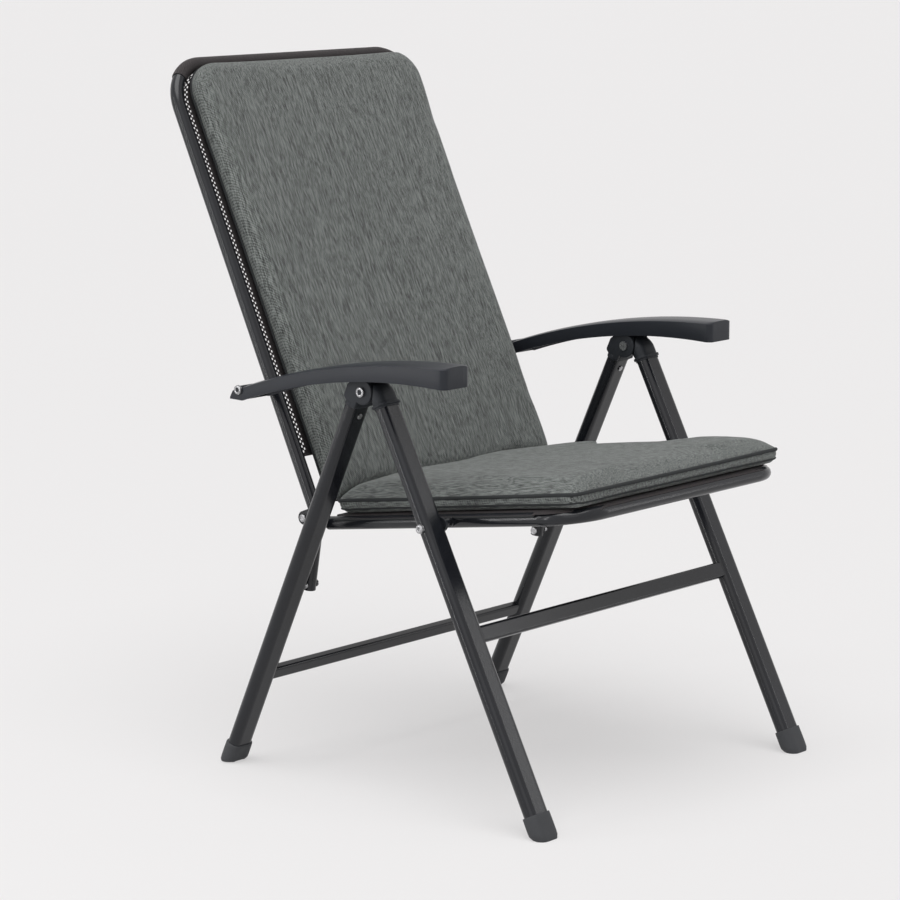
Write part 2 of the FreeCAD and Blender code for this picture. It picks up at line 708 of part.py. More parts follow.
def make_seat_end(name, side):
    """A cap in the rail's rear end with the eyelet plate of the seat pivot."""
    body = new_body("%s_seat_end" % name, "seat")
    tail = S["seat_tail"]
    x = S["seat_half"] * side
    sketch = new_sketch(body, "XZ_Plane", tail - 5)
    circle(sketch, x, rail_v, tube)
    pad(body, sketch, 5 - 0.1)
    sketch = new_sketch(body, "XZ_Plane", tail - 1)
    circle(sketch, x, rail_v, bore - 0.2)
    pad(body, sketch, 16)
    outer = S["seat_half"] + tube
    start, length = across(side, outer - S["plate"], outer)
    sketch = new_sketch(body, "YZ_Plane", start)
    r = S["eyelet"]
    path(sketch, [(0, -r), (0, r), (-tail + 0.2, rail_v + tube - 2), (-tail + 0.2, rail_v - tube + 4)],
         {0: (0, 0, r, 1)})
    pad(body, sketch, length)
    sketch = new_sketch(body, "YZ_Plane", start - 1)
    circle(sketch, 0, 0, S["pivot_pin"] + S["fit"])
    pocket(body, sketch, length + 2)
    return body


def make_cup(name, side):
    """A two-layer cup on the front leg's inner face that carries the seat's peg."""
    body = new_body("%s_peg_cup" % name, "front")
    w = front_w
    r = S["cup_radius"]
    slot = S["peg"] + S["peg_play"]
    start, length = across(side, leg_in - 0.2 - S["cup_floor"], leg_in - 0.2)
    sketch = new_sketch(body, "YZ_Plane", start)
    circle(sketch, w, -peg_down, r)
    pad(body, sketch, length)
    start, length = across(side, leg_in - S["cup_floor"] - S["plate"] - 0.2,
                           leg_in - S["cup_floor"] - 0.2)
    sketch = new_sketch(body, "YZ_Plane", start)
    circle(sketch, w, -peg_down, r)
    pad(body, sketch, length)
    # slot open upwards and forwards, the way the peg leaves when the chair folds
    opening = S["cup_open"]
    du = -sine(opening)
    dv = cosine(opening)
    reach = r * 2
    sketch = new_sketch(body, "YZ_Plane", start)
    path(sketch, [(w + slot * dv, -peg_down - slot * du), (w - slot * dv, -peg_down + slot * du),
                  (w - slot * dv + reach * du, -peg_down + slot * du + reach * dv),
                  (w + slot * dv + reach * du, -peg_down - slot * du + reach * dv)])
    pocket(body, sketch, length)
    sketch = new_sketch(body, "YZ_Plane", start)
    circle(sketch, w, -peg_down, slot)
    pocket(body, sketch, length)
    start, length = across(side, leg_in - 10, leg_in + 10)
    sketch = new_sketch(body, "YZ_Plane", start)
    circle(sketch, w, -peg_down, S["peg"] + S["fit"] / 2)
    pocket(body, sketch, length)
    return body


for side_name, side_sign in SIDES:
    make_seat_end(side_name, side_sign)
    make_cup(side_name, side_sign)

# woven seat sling lying over the rails and the front rail
seat_sling = new_body("seat_sling", "seat")
low_r = tube + 0.2
high_r = tube + 0.2 + S["sling"]
wrap = 0.7071
sketch = new_sketch(seat_sling, "XZ_Plane", S["seat_tail"] + 12)
points = [(-sh, rail_v + low_r), (sh, rail_v + low_r),
          (sh + low_r * wrap, rail_v + low_r * wrap), (sh + high_r * wrap, rail_v + high_r * wrap),
          (sh, rail_v + high_r), (-sh, rail_v + high_r),
          (-sh - high_r * wrap, rail_v + high_r * wrap),
          (-sh - low_r * wrap, rail_v + low_r * wrap)]
path(sketch, points, {1: (sh, rail_v, low_r, -1), 3: (sh, rail_v, high_r, 1),
                      5: (-sh, rail_v, high_r, 1), 7: (-sh, rail_v, low_r, -1)})
pad(seat_sling, sketch, S["seat_reach"] - S["seat_tail"] - 12 - S["seat_corner"])
sketch = new_sketch(seat_sling, "XY_Plane", rail_v + low_r)
flat = sh - S["seat_corner"]
path(sketch, [(-flat - 30, front_y + sr + 1), (-flat, front_y + 2), (flat, front_y + 2),
              (flat + 30, front_y + sr + 1)])
pad(seat_sling, sketch, S["sling"])

# ---- cushions -----------------------------------------------------------------------------
cushion = new_body("seat_cushion", "seat")
sketch = new_sketch(cushion, "XY_Plane", rail_v + high_r + S["cushion_gap"])
hw = S["cushion_half"]
rounded(sketch, -hw, front_y - 8, hw, -S["pivot_back"] + 12, S["cushion_corner"])
pad(cushion, sketch, S["seat_cushion"])
soften(cushion, 8.0, lambda edge: True)

cushion = new_body("back_cushion", "back")
sling_face = S["back_forward"] + S["sling"] / 2 + S["cushion_gap"]
sketch = new_sketch(cushion, "XZ_Plane", sling_face)
rounded(sketch, -hw, S["sling_low"] - 36, hw, top_up - tube - 6, S["cushion_corner"])
pad(cushion, sketch, S["back_cushion"])
soften(cushion, 8.0, lambda edge: True)

# ---- armrests -----------------------------------------------------------------------------
arm_r = S["arm_radius"]
arm_low_r = S["arm_under_radius"]
# centres of the long curves, from the armrest pivot
top_cy = -S["arm_front"] + 5
top_cz = 67.5 - arm_r
low_cy = -S["arm_front"] + 55
low_cz = 41.0 - arm_low_r


def on_top(y, lower=0):
    """Height of the armrest's upper line at a distance behind its pivot."""
    radius = arm_r - lower
    off = size(y) - top_cy
    return top_cz + root(radius * radius - off * off)


def on_under(y):
    """Height of the armrest's lower line."""
    off = size(y) - low_cy
    return low_cz + root(arm_low_r * arm_low_r - off * off)


def make_armrest(name, side):
    """A moulded armrest: curved top, two walls and an open underside."""
    body = new_body("%s_armrest" % name, "arm")
    outer = S["arm_inner"] + S["arm_wide"]
    start, length = across(side, S["arm_inner"], outer)
    front = -S["arm_front"]
    tail = S["arm_tail"]
    sketch = new_sketch(body, "YZ_Plane", start)
    points = [(front, on_top(front)), (front, on_under(front + 55) + 0.5),
              (low_cy, low_cz + arm_low_r),
              (-6, on_under(-6)), (tail - 3, -15.5), (tail, -13.0), (tail - 7, 4.5),
              (tail - 16, on_top(tail - 16))]
    path(sketch, points, {2: (low_cy, low_cz, arm_low_r, -1), 7: (top_cy, top_cz, arm_r, 1)})
    pad(body, sketch, length)
    sketch = new_sketch(body, "YZ_Plane", start + S["arm_wall"])
    deep = S["arm_roof"]
    a = front + 12
    b = tail - 12
    path(sketch, [(a, on_top(a, deep)), (a, -60), (b + 40, -60), (b + 40, -8), (b, -6.5),
                  (b - 12, on_top(b - 12, deep))],
         {5: (top_cy, top_cz, arm_r - deep, 1)})
    pocket(body, sketch, length - S["arm_wall"] * 2)
    sketch = new_sketch(body, "YZ_Plane", start - 1)
    circle(sketch, 0, 0, S["pivot_pin"] + 3.0)
    pocket(body, sketch, length + 2)

    def outer_edge(edge):
        box = edge.BoundBox
        sides = (S["arm_inner"].value, outer.value)
        on_side = box.XLength < 0.01 and min(abs(abs(box.XMin) - v) for v in sides) < 0.01
        upright = box.YLength < 2 and box.ZLength > 15 and box.YMax < front.value + 3
        return on_side and upright

    soften(body, 6.0, outer_edge)
    return body


def make_rack(name, side):
    """The notched rack under an armrest's roof that the hinge cheeks hold."""
    body = new_body("%s_latch_rack" % name, "arm")
    start, length = across(side, S["arm_inner"] + 20, S["arm_inner"] + 28)
    sketch = new_sketch(body, "YZ_Plane", start)
    deep = S["arm_roof"] + 0.9
    hinge = S["hinge_y"] - arm_y
    base = S["hinge_height"] - arm_z + S["cheek_radius"] + 6.5
    a = hinge - 110
    b = hinge + 24
    pitch = 22
    points = [(b, on_top(b, deep)), (a, on_top(a, deep)), (a, base + 5)]
    for step in range(5):
        left = a + 8 + step * pitch
        points.append((left, base + 5))
        points.append((left + pitch / 2, base))
    points.append((b, base))
    path(sketch, points)
    pad(body, sketch, length)
    return body


for side_name, side_sign in SIDES:
    make_armrest(side_name, side_sign)
    make_rack(side_name, side_sign)

# ---- rivets -------------------------------------------------------------------------------
row_hinge = (S["hinge_y"], S["hinge_height"])
peg_y = place("peg_y", seat_y - peg_along * cosine(S["seat_lean"])
              - S["seat_drop"] * sine(S["seat_lean"]))
peg_z = place("peg_z", seat_z + peg_along * sine(S["seat_lean"])
              - S["seat_drop"] * cosine(S["seat_lean"]))
bolt_y, bolt_z = on_rear_leg(2.5, S["knuckle_bolt"])
bolt_y = place("bolt_y", bolt_y)
bolt_z = place("bolt_z", bolt_z)
run = S["running"]
flush = 0.15
hinges = []
backs = []
seats = []
arms = []
bolts = []
for side_name, side_sign in SIDES:
    hinges.append(rivet(side_name + "_hinge_rivet", side_sign, (leg_in - 2, leg_out + 2),
                        [(leg_in - 2.8, leg_in - 0.4), (leg_out + 0.4, leg_out + 2.8)],
                        S["hinge_y"], S["hinge_height"], S["hinge_pin"], S["hinge_head"]))
    inner = S["back_half"] - tube
    outer = S["back_half"] + tube
    backs.append(rivet(side_name + "_back_rivet", side_sign, (inner - 2, leg_in + 12),
                       [(inner - 2.5, inner - run), (outer + run, leg_in - run)],
                       back_y, back_z, S["pivot_pin"], S["pivot_head"]))
    rail = S["seat_half"] + tube
    eye = half + tube + 0.2 + S["plate"]
    seats.append(rivet(side_name + "_seat_rivet", side_sign, (rail - S["plate"] - 2, eye + 1.6),
                       [(rail - S["plate"] - 2.5, rail - S["plate"] - run),
                        (eye + run, eye + 2.2)],
                       seat_y, seat_z, S["pivot_pin"], S["pivot_head"]))
    arm_outer = S["arm_inner"] + S["arm_wide"]
    arms.append(rivet(side_name + "_arm_rivet", side_sign, (inner + 3, arm_outer + 1.5),
                      [(arm_outer + run, arm_outer + 2)],
                      arm_y, arm_z, S["pivot_pin"], S["pivot_head"] + 1.5))
    bolt = doc.addObject("Part::Cylinder", side_name + "_knuckle_bolt")
    bolt.Radius = 2.5
    bolt.Height = 3.0
    bolts.append(bolt)
pair("hinge_rivets", hinges)
pair("back_rivets", backs)
pair("seat_rivets", seats)
pair("arm_rivets", arms)

for bolt, (side_name, side_sign) in zip(bolts, SIDES):
    # a small rivet pressed into the block's front face
    lean = S["rear_lean"]
    bolt.setExpression("Radius", (S["pivot_pin"] * 0.8).text)
    bolt.setExpression("Height", (S["leg_deep"] * 0.8).text)
    x = S["leg_plane"] * side_sign
    spin = FreeCAD.Rotation(V(1, 0, 0), lean.value - 90)
    bolt.Placement = FreeCAD.Placement(V(x.value, bolt_y.value, bolt_z.value), spin)
pair("knuckle_rivets", bolts)

cups = []
for side_name, side_sign in SIDES:
    peg = rivet(side_name + "_seat_peg", side_sign,
                (rail + 0.2, leg_in - 0.2 - S["cup_floor"] - run),
                [(rail + 0.2, rail + 1.7), (rail + 6.0, rail + 8.5)],
                peg_y, peg_z, S["peg"], S["peg_flange"])
    NODES.append(peg)
    cups.append(rivet(side_name + "_cup_rivet", side_sign, (leg_in - S["cup_floor"], leg_out + 1),
                      [(leg_out + flush, leg_out + 2.5)], peg_y, peg_z, S["peg"], S["peg_flange"]))
pair("cup_rivets", cups)

bushes = []
for side_name, side_sign in SIDES:
    name = side_name + "_arm_bush"
    inner = half + tube + run
    wall = S["arm_inner"] + S["arm_wall"]
    outer = S["arm_inner"] + S["arm_wide"] - 0.6
    body = pin(name + "_body", side_sign, inner, outer, arm_y, arm_z, S["pivot_pin"] + 2.4)
    collar = pin(name + "_collar", side_sign, inner, S["arm_inner"] - run, arm_y, arm_z,
                 S["pivot_pin"] + 5.5)
    outside = doc.addObject("Part::MultiFuse", name + "_solid")
    outside.Shapes = [body, collar]
    hole = pin(name + "_bore", side_sign, inner - 1, outer + 1, arm_y, arm_z,
               S["pivot_pin"] + S["fit"])
    cut = doc.addObject("Part::Cut", name)
    cut.Base = outside
    cut.Tool = hole
    bushes.append(cut)
pair("arm_bushes", bushes)

doc.recompute()
for thing in doc.Objects:
    if "Invalid" in thing.State or "Error" in thing.State:
        raise RuntimeError("%s failed: %s" % (thing.Name, thing.State))
for node in NODES:
    if node.Shape.isNull() or not node.Shape.isValid():
        raise RuntimeError("%s has no valid shape" % node.Label)
    if node.Shape.Volume < 10:
        raise RuntimeError("%s has no volume" % node.Label)
os.makedirs("parts", exist_ok=True)
for node in NODES:
    node.Shape.exportStep("parts/%s.step" % node.Label)
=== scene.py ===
import bpy
import bmesh
import json
import math
from mathutils import Matrix, Vector
from mathutils.bvhtree import BVHTree


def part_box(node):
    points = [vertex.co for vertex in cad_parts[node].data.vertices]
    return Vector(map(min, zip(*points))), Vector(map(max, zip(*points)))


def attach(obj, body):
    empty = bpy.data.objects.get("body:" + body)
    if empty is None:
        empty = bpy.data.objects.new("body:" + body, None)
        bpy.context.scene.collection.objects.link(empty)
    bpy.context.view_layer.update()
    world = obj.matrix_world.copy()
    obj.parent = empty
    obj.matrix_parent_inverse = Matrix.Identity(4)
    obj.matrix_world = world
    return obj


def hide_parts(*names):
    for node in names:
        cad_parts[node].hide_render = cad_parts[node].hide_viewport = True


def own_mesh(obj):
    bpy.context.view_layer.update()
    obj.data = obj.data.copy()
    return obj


bl_info = {
    "name": "Folding garden chair",
    "version": (1, 0, 0),
    "blender": (4, 5, 0),
    "location": "3D View > Sidebar > Chair",
    "description": "Cushions, slings, armrests, fittings and finishes of the chair",
    "category": "Object",
}

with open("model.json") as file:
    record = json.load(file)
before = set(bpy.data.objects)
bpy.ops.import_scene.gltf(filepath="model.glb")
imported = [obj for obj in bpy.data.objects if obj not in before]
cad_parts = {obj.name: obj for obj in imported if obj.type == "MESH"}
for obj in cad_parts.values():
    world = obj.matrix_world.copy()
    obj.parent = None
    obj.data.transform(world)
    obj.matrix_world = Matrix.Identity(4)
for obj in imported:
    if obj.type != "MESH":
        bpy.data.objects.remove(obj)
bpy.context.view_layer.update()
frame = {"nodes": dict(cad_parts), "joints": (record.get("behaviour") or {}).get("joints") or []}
JOINTS = {joint["name"]: joint for joint in frame["joints"]}
HINGE = Vector(JOINTS["leg_fold"]["pos_m"])
BACK_PIVOT = Vector(JOINTS["back_turn"]["pos_m"])
SEAT_PIVOT = Vector(JOINTS["seat_turn"]["pos_m"])
ARM_PIVOT = Vector(JOINTS["left_arm_turn"]["pos_m"])
SIDES = (("left", 1), ("right", -1))


def tilted(origin, degrees):
    """A frame at origin, tipped about X."""
    return Matrix.Translation(origin) @ Matrix.Rotation(math.radians(degrees), 4, "X")


# how far each part of the chair leans, in degrees
LEANS = {"front": -27.0, "rear": 24.4, "back": -25.4, "seat": -8.39}
PLACES = {
    "back": tilted(BACK_PIVOT, LEANS["back"]),
    "seat": tilted(SEAT_PIVOT, LEANS["seat"]),
    "front": tilted(HINGE, LEANS["front"]),
    "rear": tilted(HINGE, LEANS["rear"]),
    "arm": Matrix.Translation(ARM_PIVOT),
}
# seat rails below the seat pivot, and the seat rails' spacing from the middle
RAIL_DROP = -0.01265
RAIL_HALF = 0.2405
# the back tube's plane, its top bar's height, its outer half width and its corner radius
BACK_PLANE = -0.0587
BAR_UP = 0.794
BACK_HALF = 0.2615
BAR_CORNER = 0.066
# middle planes of a leg pair and of an armrest
LEG_PLANE = 0.2975
ARM_PLANE = 0.303
# spacing of the cloth's ribs and threads, and of the mesh's cords
RIB_PITCH = 0.0034
WEFT_PITCH = 0.0022
MESH_CORD_PITCH = 0.0030


# ---- sizes and colours ---------------------------------------------------------------------
def length(name, description, default):
    return bpy.props.FloatProperty(name=name, description=description, default=default,
                                   unit="LENGTH")


def colour(name, description, default):
    return bpy.props.FloatVectorProperty(name=name, description=description, default=default,
                                         subtype="COLOR")


class ChairSizes(bpy.types.PropertyGroup):
    """Sizes of the soft pieces and trim."""
    # this radius also sizes the dark cord painted as the back pad's shadow line
    piping_and_shadow_cord: length("Piping radius", "Half the thickness of the sewn cord edge", 0.0026)
    band: length("Seat band", "Height of the seat cushion's side below its piping", 0.0205)
    crown: length("Seat crown", "How far the seat's top panel swells above its piping", 0.019)
    back_thick: length("Back pad", "Thickness of the back cushion in its middle", 0.036)
    voxel: length("Cloth grid", "Spacing of the cloth used to plump the cushions", 0.0055)
    mesh_pitch: length("Mesh pitch", "Spacing of the open holes along the sling's sides", 0.0038)
    stitch: length("Stitch spacing", "Spacing of the stitches on the top sleeve", 0.0075)


class ChairColours(bpy.types.PropertyGroup):
    """Colours of the finishes."""
    fabric: colour("Cushion cloth", "Melange grey of the cushions", (0.128, 0.139, 0.133))
    # the piping colour also paints the dark shadow line round the back pad's rear edge
    piping_and_shadow_cord: colour("Piping", "Dark sewn edges of the cushions", (0.014, 0.016, 0.017))
    coat: colour("Powder coat", "Dark slate coat of the tubes", (0.0085, 0.0095, 0.0125))
    moulding: colour("Armrest", "Slate plastic of the armrests", (0.020, 0.0225, 0.0285))
    # the fitting colour also paints the shade inside the rivets' hollows
    fitting: colour("Fittings", "Matt plastic of hinges and caps", (0.020, 0.0225, 0.027))
    rubber: colour("Feet", "Grey rubber of the foot caps", (0.050, 0.052, 0.056))
    sling: colour("Sling", "Brown black of the woven mesh", (0.030, 0.024, 0.025))
    steel: colour("Rivets", "Plated steel", (0.40, 0.40, 0.41))


def sizes():
    return bpy.context.scene.chair_sizes


def colours():
    return bpy.context.scene.chair_colours


# ---- mesh helpers --------------------------------------------------------------------------
def clear():
    """Leave edit mode with nothing selected."""
    if bpy.context.object and bpy.context.object.mode != "OBJECT":
        bpy.ops.object.mode_set(mode="OBJECT")
    bpy.ops.object.select_all(action="DESELECT")


def activate(piece):
    clear()
    piece.select_set(True)
    bpy.context.view_layer.objects.active = piece
    return piece


def block(name, low, high, cuts=(0, 0, 0)):
    """A box between two corners, with its edges along each axis divided."""
    clear()
    low = Vector(low)
    high = Vector(high)
    bpy.ops.mesh.primitive_cube_add(size=1, location=(low + high) / 2)
    piece = bpy.context.object
    piece.name = name
    piece.scale = high - low
    bpy.ops.object.transform_apply(location=True, rotation=True, scale=True)
    for axis, count in enumerate(cuts):
        if count:
            divide(piece, axis, count)
    return piece


def pick(piece, kind, wanted):
    """Open a piece in edit mode with the edges or faces that pass a test selected."""
    activate(piece)
    bpy.ops.object.mode_set(mode="EDIT")
    bpy.ops.mesh.select_mode(type=kind)
    bpy.ops.mesh.select_all(action="DESELECT")
    grid = bmesh.from_edit_mesh(piece.data)
    for part in (grid.edges if kind == "EDGE" else grid.faces):
        if wanted(part):
            part.select = True
    bmesh.update_edit_mesh(piece.data)


def divide(piece, axis, count):
    """Subdivide every edge that runs along one axis."""
    def along(edge):
        run = edge.verts[1].co - edge.verts[0].co
        return abs(run[axis]) > 0.9 * run.length

    pick(piece, "EDGE", along)
    bpy.ops.mesh.subdivide(number_cuts=count)
    bpy.ops.object.mode_set(mode="OBJECT")


def edit_all(piece, *steps):
    """Run edit mode steps on the whole of a piece."""
    activate(piece)
    bpy.ops.object.mode_set(mode="EDIT")
    for step, settings in steps:
        bpy.ops.mesh.select_all(action="SELECT")
        step(**settings)
    bpy.ops.object.mode_set(mode="OBJECT")


def face_outwards(piece):
    edit_all(piece, (bpy.ops.mesh.normals_make_consistent, {"inside": False}))


def round_rod(name, start, end, radius, sides=32):
    """A cylinder from one point to another."""
    clear()
    start = Vector(start)
    end = Vector(end)
    run = end - start
    turn = run.to_track_quat("Z", "Y").to_euler()
    bpy.ops.mesh.primitive_cylinder_add(
        vertices=sides, radius=radius, depth=run.length, location=(start + end) / 2, rotation=turn)
    piece = bpy.context.object
    piece.name = name
    bpy.ops.object.transform_apply(location=True, rotation=True, scale=True)
    return piece


def reshape(piece, rule):
    """Move every point of a piece by a rule."""
    for point in piece.data.vertices:
        point.co = rule(point.co.copy())
    piece.data.update()
    return piece


def modifier(piece, kind, **settings):
    """Add a modifier and apply it."""
    activate(piece)
    added = piece.modifiers.new(kind.title(), kind)
    for key, value in settings.items():
        setattr(added, key, value)
    bpy.ops.object.modifier_apply(modifier=added.name)
    return piece


def soften(piece, width, segments=3, angle=30):
    """Round the edges sharper than an angle."""
    return modifier(piece, "BEVEL", width=width, segments=segments, limit_method="ANGLE",
                    angle_limit=math.radians(angle), use_clamp_overlap=True)


def smooth(piece, angle=35):
    activate(piece)
    bpy.ops.object.shade_smooth_by_angle(angle=math.radians(angle))
    return piece


def join(name, pieces):
    """Join several meshes into one piece."""
    clear()
    for piece in pieces:
        piece.select_set(True)
    bpy.context.view_layer.objects.active = pieces[0]
    bpy.ops.object.join()
    pieces[0].name = name
    return pieces[0]


def set_in(piece, place):
    """Move a piece from one of the chair's frames into the row frame."""
    activate(piece)
    piece.matrix_world = PLACES[place]
    bpy.ops.object.transform_apply(location=True, rotation=True, scale=True)
    return piece


def finish_piece(piece, name, body, material, nodes=(), angle=35):
    """Name, shade, paint and attach a finished piece."""
    piece.name = name
    piece.data.name = name
    smooth(piece, angle)
    piece.data.materials.clear()
    piece.data.materials.append(material)
    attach(piece, body)
    if nodes:
        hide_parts(*nodes)
    return piece


# ---- materials -----------------------------------------------------------------------------
def new_material(name):
    material = bpy.data.materials.get(name)
    if material:
        return material, None
    material = bpy.data.materials.new(name)
    material.use_nodes = True
    tree = material.node_tree
    tree.nodes.clear()
    out = tree.nodes.new("ShaderNodeOutputMaterial")
    shader = tree.nodes.new("ShaderNodeBsdfPrincipled")
    tree.links.new(shader.outputs[0], out.inputs[0])
    return material, Builder(tree, shader)


class Builder:
    """Short calls for joining shader nodes."""

    def __init__(self, tree, shader):
        self.tree = tree
        self.shader = shader

    def node(self, kind, inputs=None, **settings):
        made = self.tree.nodes.new("ShaderNode" + kind)
        for key, value in settings.items():
            setattr(made, key, value)
        for key, value in (inputs or {}).items():
            if isinstance(value, bpy.types.NodeSocket):
                self.tree.links.new(value, made.inputs[key])
            else:
                made.inputs[key].default_value = value
        return made

    def coords(self, place=None, scale=(1, 1, 1)):
        """Object coordinates, turned into one of the chair's frames."""
        source = self.node("TexCoord").outputs["Object"]
        if place:
            matrix = PLACES[place].inverted()
            turned = self.node("Mapping", {"Vector": source}, vector_type="POINT")
            turned.inputs["Location"].default_value = matrix.to_translation()
            turned.inputs["Rotation"].default_value = matrix.to_euler()
            source = turned.outputs[0]
        sized = self.node("Mapping", {"Vector": source})
        sized.inputs["Scale"].default_value = scale
        return sized.outputs[0]

    def noise(self, vector, scale, detail=3.0, rough=0.55):
        made = self.node("TexNoise", {"Vector": vector, "Scale": scale, "Detail": detail,
                                      "Roughness": rough})
        return made.outputs["Fac"]

    def maths(self, operation, a, b=0.0, clamp=False):
        made = self.node("Math", {0: a, 1: b}, operation=operation, use_clamp=clamp)
        return made.outputs[0]

    def span(self, value, low, high, to_low, to_high):
        made = self.node("MapRange", {"Value": value, "From Min": low, "From Max": high,
                                      "To Min": to_low, "To Max": to_high})
        return made.outputs[0]

    def mix(self, factor, first, second, blend="MIX"):
        made = self.node("Mix", data_type="RGBA", blend_type=blend)
        for socket, value in ((made.inputs["Factor"], factor), (made.inputs[6], first),
                              (made.inputs[7], second)):
            if isinstance(value, bpy.types.NodeSocket):
                self.tree.links.new(value, socket)
            elif hasattr(value, "__len__"):
                socket.default_value = tuple(value)[:3] + (1.0,)
            else:
                socket.default_value = value
        return made.outputs[2]

    def bump(self, height, strength, distance=0.001):
        made = self.node("Bump", {"Height": height, "Strength": strength, "Distance": distance})
        self.set("Normal", made.outputs[0])

    def set(self, socket, value):
        target = self.shader.inputs[socket]
        if isinstance(value, bpy.types.NodeSocket):
            self.tree.links.new(value, target)
        elif hasattr(value, "__len__"):
            target.default_value = tuple(value)[:3] + (1.0,)
        else:
            target.default_value = value


def tint(colour, factor):
    return tuple(min(1.0, channel * factor) for channel in colour)


def powder_coat():
    """Dark slate coat: fine orange peel, slight sheen and faint dust."""
    material, make = new_material("slate_powder_coat")
    if make:
        base = colours().coat
        where = make.coords()
        cloud = make.noise(where, 9.0, 4.0)
        shade = make.span(cloud, 0.3, 0.75, 0.0, 1.0)
        make.set("Base Color", make.mix(shade, tint(base, 0.85), tint(base, 1.25)))
        grain = make.noise(where, 1400.0, 2.0)
        make.set("Roughness", make.span(grain, 0.3, 0.7, 0.19, 0.23))
        make.set("Specular IOR Level", 0.42)
        make.bump(grain, 0.012, 0.0001)
    return material


def moulded(name, colour, rough, grain_scale=900.0, strength=0.2):
    """Moulded plastic with a fine spark-eroded grain."""
    material, make = new_material(name)
    if make:
        where = make.coords()
        cloud = make.noise(where, 14.0, 3.0)
        make.set("Base Color", make.mix(cloud, tint(colour, 0.88), tint(colour, 1.14)))
        grain = make.noise(where, grain_scale, 3.0)
        make.set("Roughness", make.span(grain, 0.3, 0.7, rough - 0.05, rough + 0.06))
        make.set("Specular IOR Level", 0.26)
        make.bump(grain, strength * 0.4, 0.0001)
    return material


def plated_steel():
    material, make = new_material("plated_steel")
    if make:
        base = colours().steel
        where = make.coords()
        cloud = make.noise(where, 600.0, 3.0)
        make.set("Base Color", make.mix(cloud, tint(base, 0.8), tint(base, 1.05)))
        make.set("Metallic", 1.0)
        make.set("Roughness", make.span(cloud, 0.3, 0.7, 0.22, 0.38))
        make.bump(cloud, 0.08, 0.0002)
    return material


def cushion_cloth(place):
    """Melange twill: slubby threads along the cushion, fine diagonal ribs across them."""
    material, make = new_material("melange_twill_" + place)
    if make:
        base = colours().fabric
        lengthways = (1, 1, 0.09) if place == "back" else (1, 0.09, 1)
        threads = make.noise(make.coords(place, lengthways), 720.0, 2.0, 0.6)
        slubs = make.noise(make.coords(place, lengthways), 420.0, 2.0, 0.6)
        flecks = make.noise(make.coords(place), 900.0, 2.0, 0.7)
        clouds = make.noise(make.coords(place), 5.0, 2.0)
        # diagonal ribs in the plane of the cushion
        parts = make.node("SeparateXYZ", {0: make.coords(place)})
        run = parts.outputs[2] if place == "back" else parts.outputs[1]
        slope = make.maths("ADD", parts.outputs[0], make.maths("MULTIPLY", run, 0.75))
        ribs = make.maths("SINE", make.maths("MULTIPLY", slope, 2 * math.pi / RIB_PITCH))
        weft = make.maths("SINE", make.maths("MULTIPLY", run, 2 * math.pi / WEFT_PITCH))
        light = make.span(threads, 0.35, 0.65, -0.74, 0.74)
        light = make.maths("ADD", light, make.span(slubs, 0.35, 0.65, -0.20, 0.20))
        light = make.maths("ADD", light, make.maths("MULTIPLY", ribs, 0.34))
        light = make.maths("ADD", light, make.span(flecks, 0.35, 0.65, -0.60, 0.60))
        light = make.maths("ADD", light, make.span(clouds, 0.3, 0.7, -0.05, 0.05))
        factor = make.span(light, -0.85, 0.85, 0.0, 1.0)
        make.set("Base Color", make.mix(factor, tint(base, 0.22), tint(base, 1.72)))
        height = make.maths("ADD", make.maths("MULTIPLY", ribs, 0.5),
                            make.maths("MULTIPLY", weft, 0.10))
        height = make.maths("ADD", height, make.maths("MULTIPLY", threads, 0.4))
        make.set("Roughness", 0.92)
        make.set("Sheen Weight", 0.12)
        make.set("Sheen Roughness", 0.5)
        make.bump(height, 0.55, 0.0005)
    return material


def woven_mesh(name, place, colour):
    """Coarse synthetic mesh: crossing cords, with painted shade darkening the pits between them."""
    material, make = new_material(name)
    if make:
        parts = make.node("SeparateXYZ", {0: make.coords(place)})
        up = parts.outputs[2] if place == "back" else parts.outputs[1]
        pitch = 2 * math.pi / MESH_CORD_PITCH
        across = make.maths("SINE", make.maths("MULTIPLY", parts.outputs[0], pitch))
        along = make.maths("SINE", make.maths("MULTIPLY", up, pitch))
        weave = make.maths("MULTIPLY", across, along)
        # painted shade: this mask darkens the pits between the crossing cords, where shade falls
        # into the weave
        pit_shade_mask = make.span(weave, -0.2, 0.9, 0.0, 1.0)
        fuzz = make.noise(make.coords(place), 700.0, 2.0)
        pit_shade_and_fuzz = make.maths("MULTIPLY", pit_shade_mask, make.span(fuzz, 0.2, 0.8, 0.6, 1.2), clamp=True)
        # cords in the sling's colour, pits darkened as painted shade, with some random fuzz
        make.set("Base Color", make.mix(pit_shade_and_fuzz, tint(colour, 0.45), tint(colour, 2.1)))
        make.set("Roughness", 0.7)
        make.bump(weave, 0.8, 0.0008)
    return material


def sewn_and_shadow_cord():
    material, make = new_material("piping_and_shadow_cloth")
    # dark cloth of the piping, bindings and stitches, and of the painted shadow line round the back
    # pad
    if make:
        base = colours().piping_and_shadow_cord
        where = make.coords()
        threads = make.noise(where, 1100.0, 2.0)
        make.set("Base Color", make.mix(threads, tint(base, 0.6), tint(base, 1.5)))
        make.set("Roughness", 0.88)
        make.bump(threads, 0.4, 0.0004)
    return material


def paint(names, material):
    """Give CAD nodes a finish."""
    for name in names:
        node = frame["nodes"][name]
        node.data.materials.clear()
        node.data.materials.append(material)
        smooth(node, 32)


# matt plastic of the real fittings; it also colours the dark discs painted as shade in the rivets'
# hollows
def plastic():
    return moulded("fitting_plastic_and_hollow_shade", colours().fitting, 0.52)


# ---- operators -----------------------------------------------------------------------------
PALE = (0.862, 0.850, 0.850, 1)


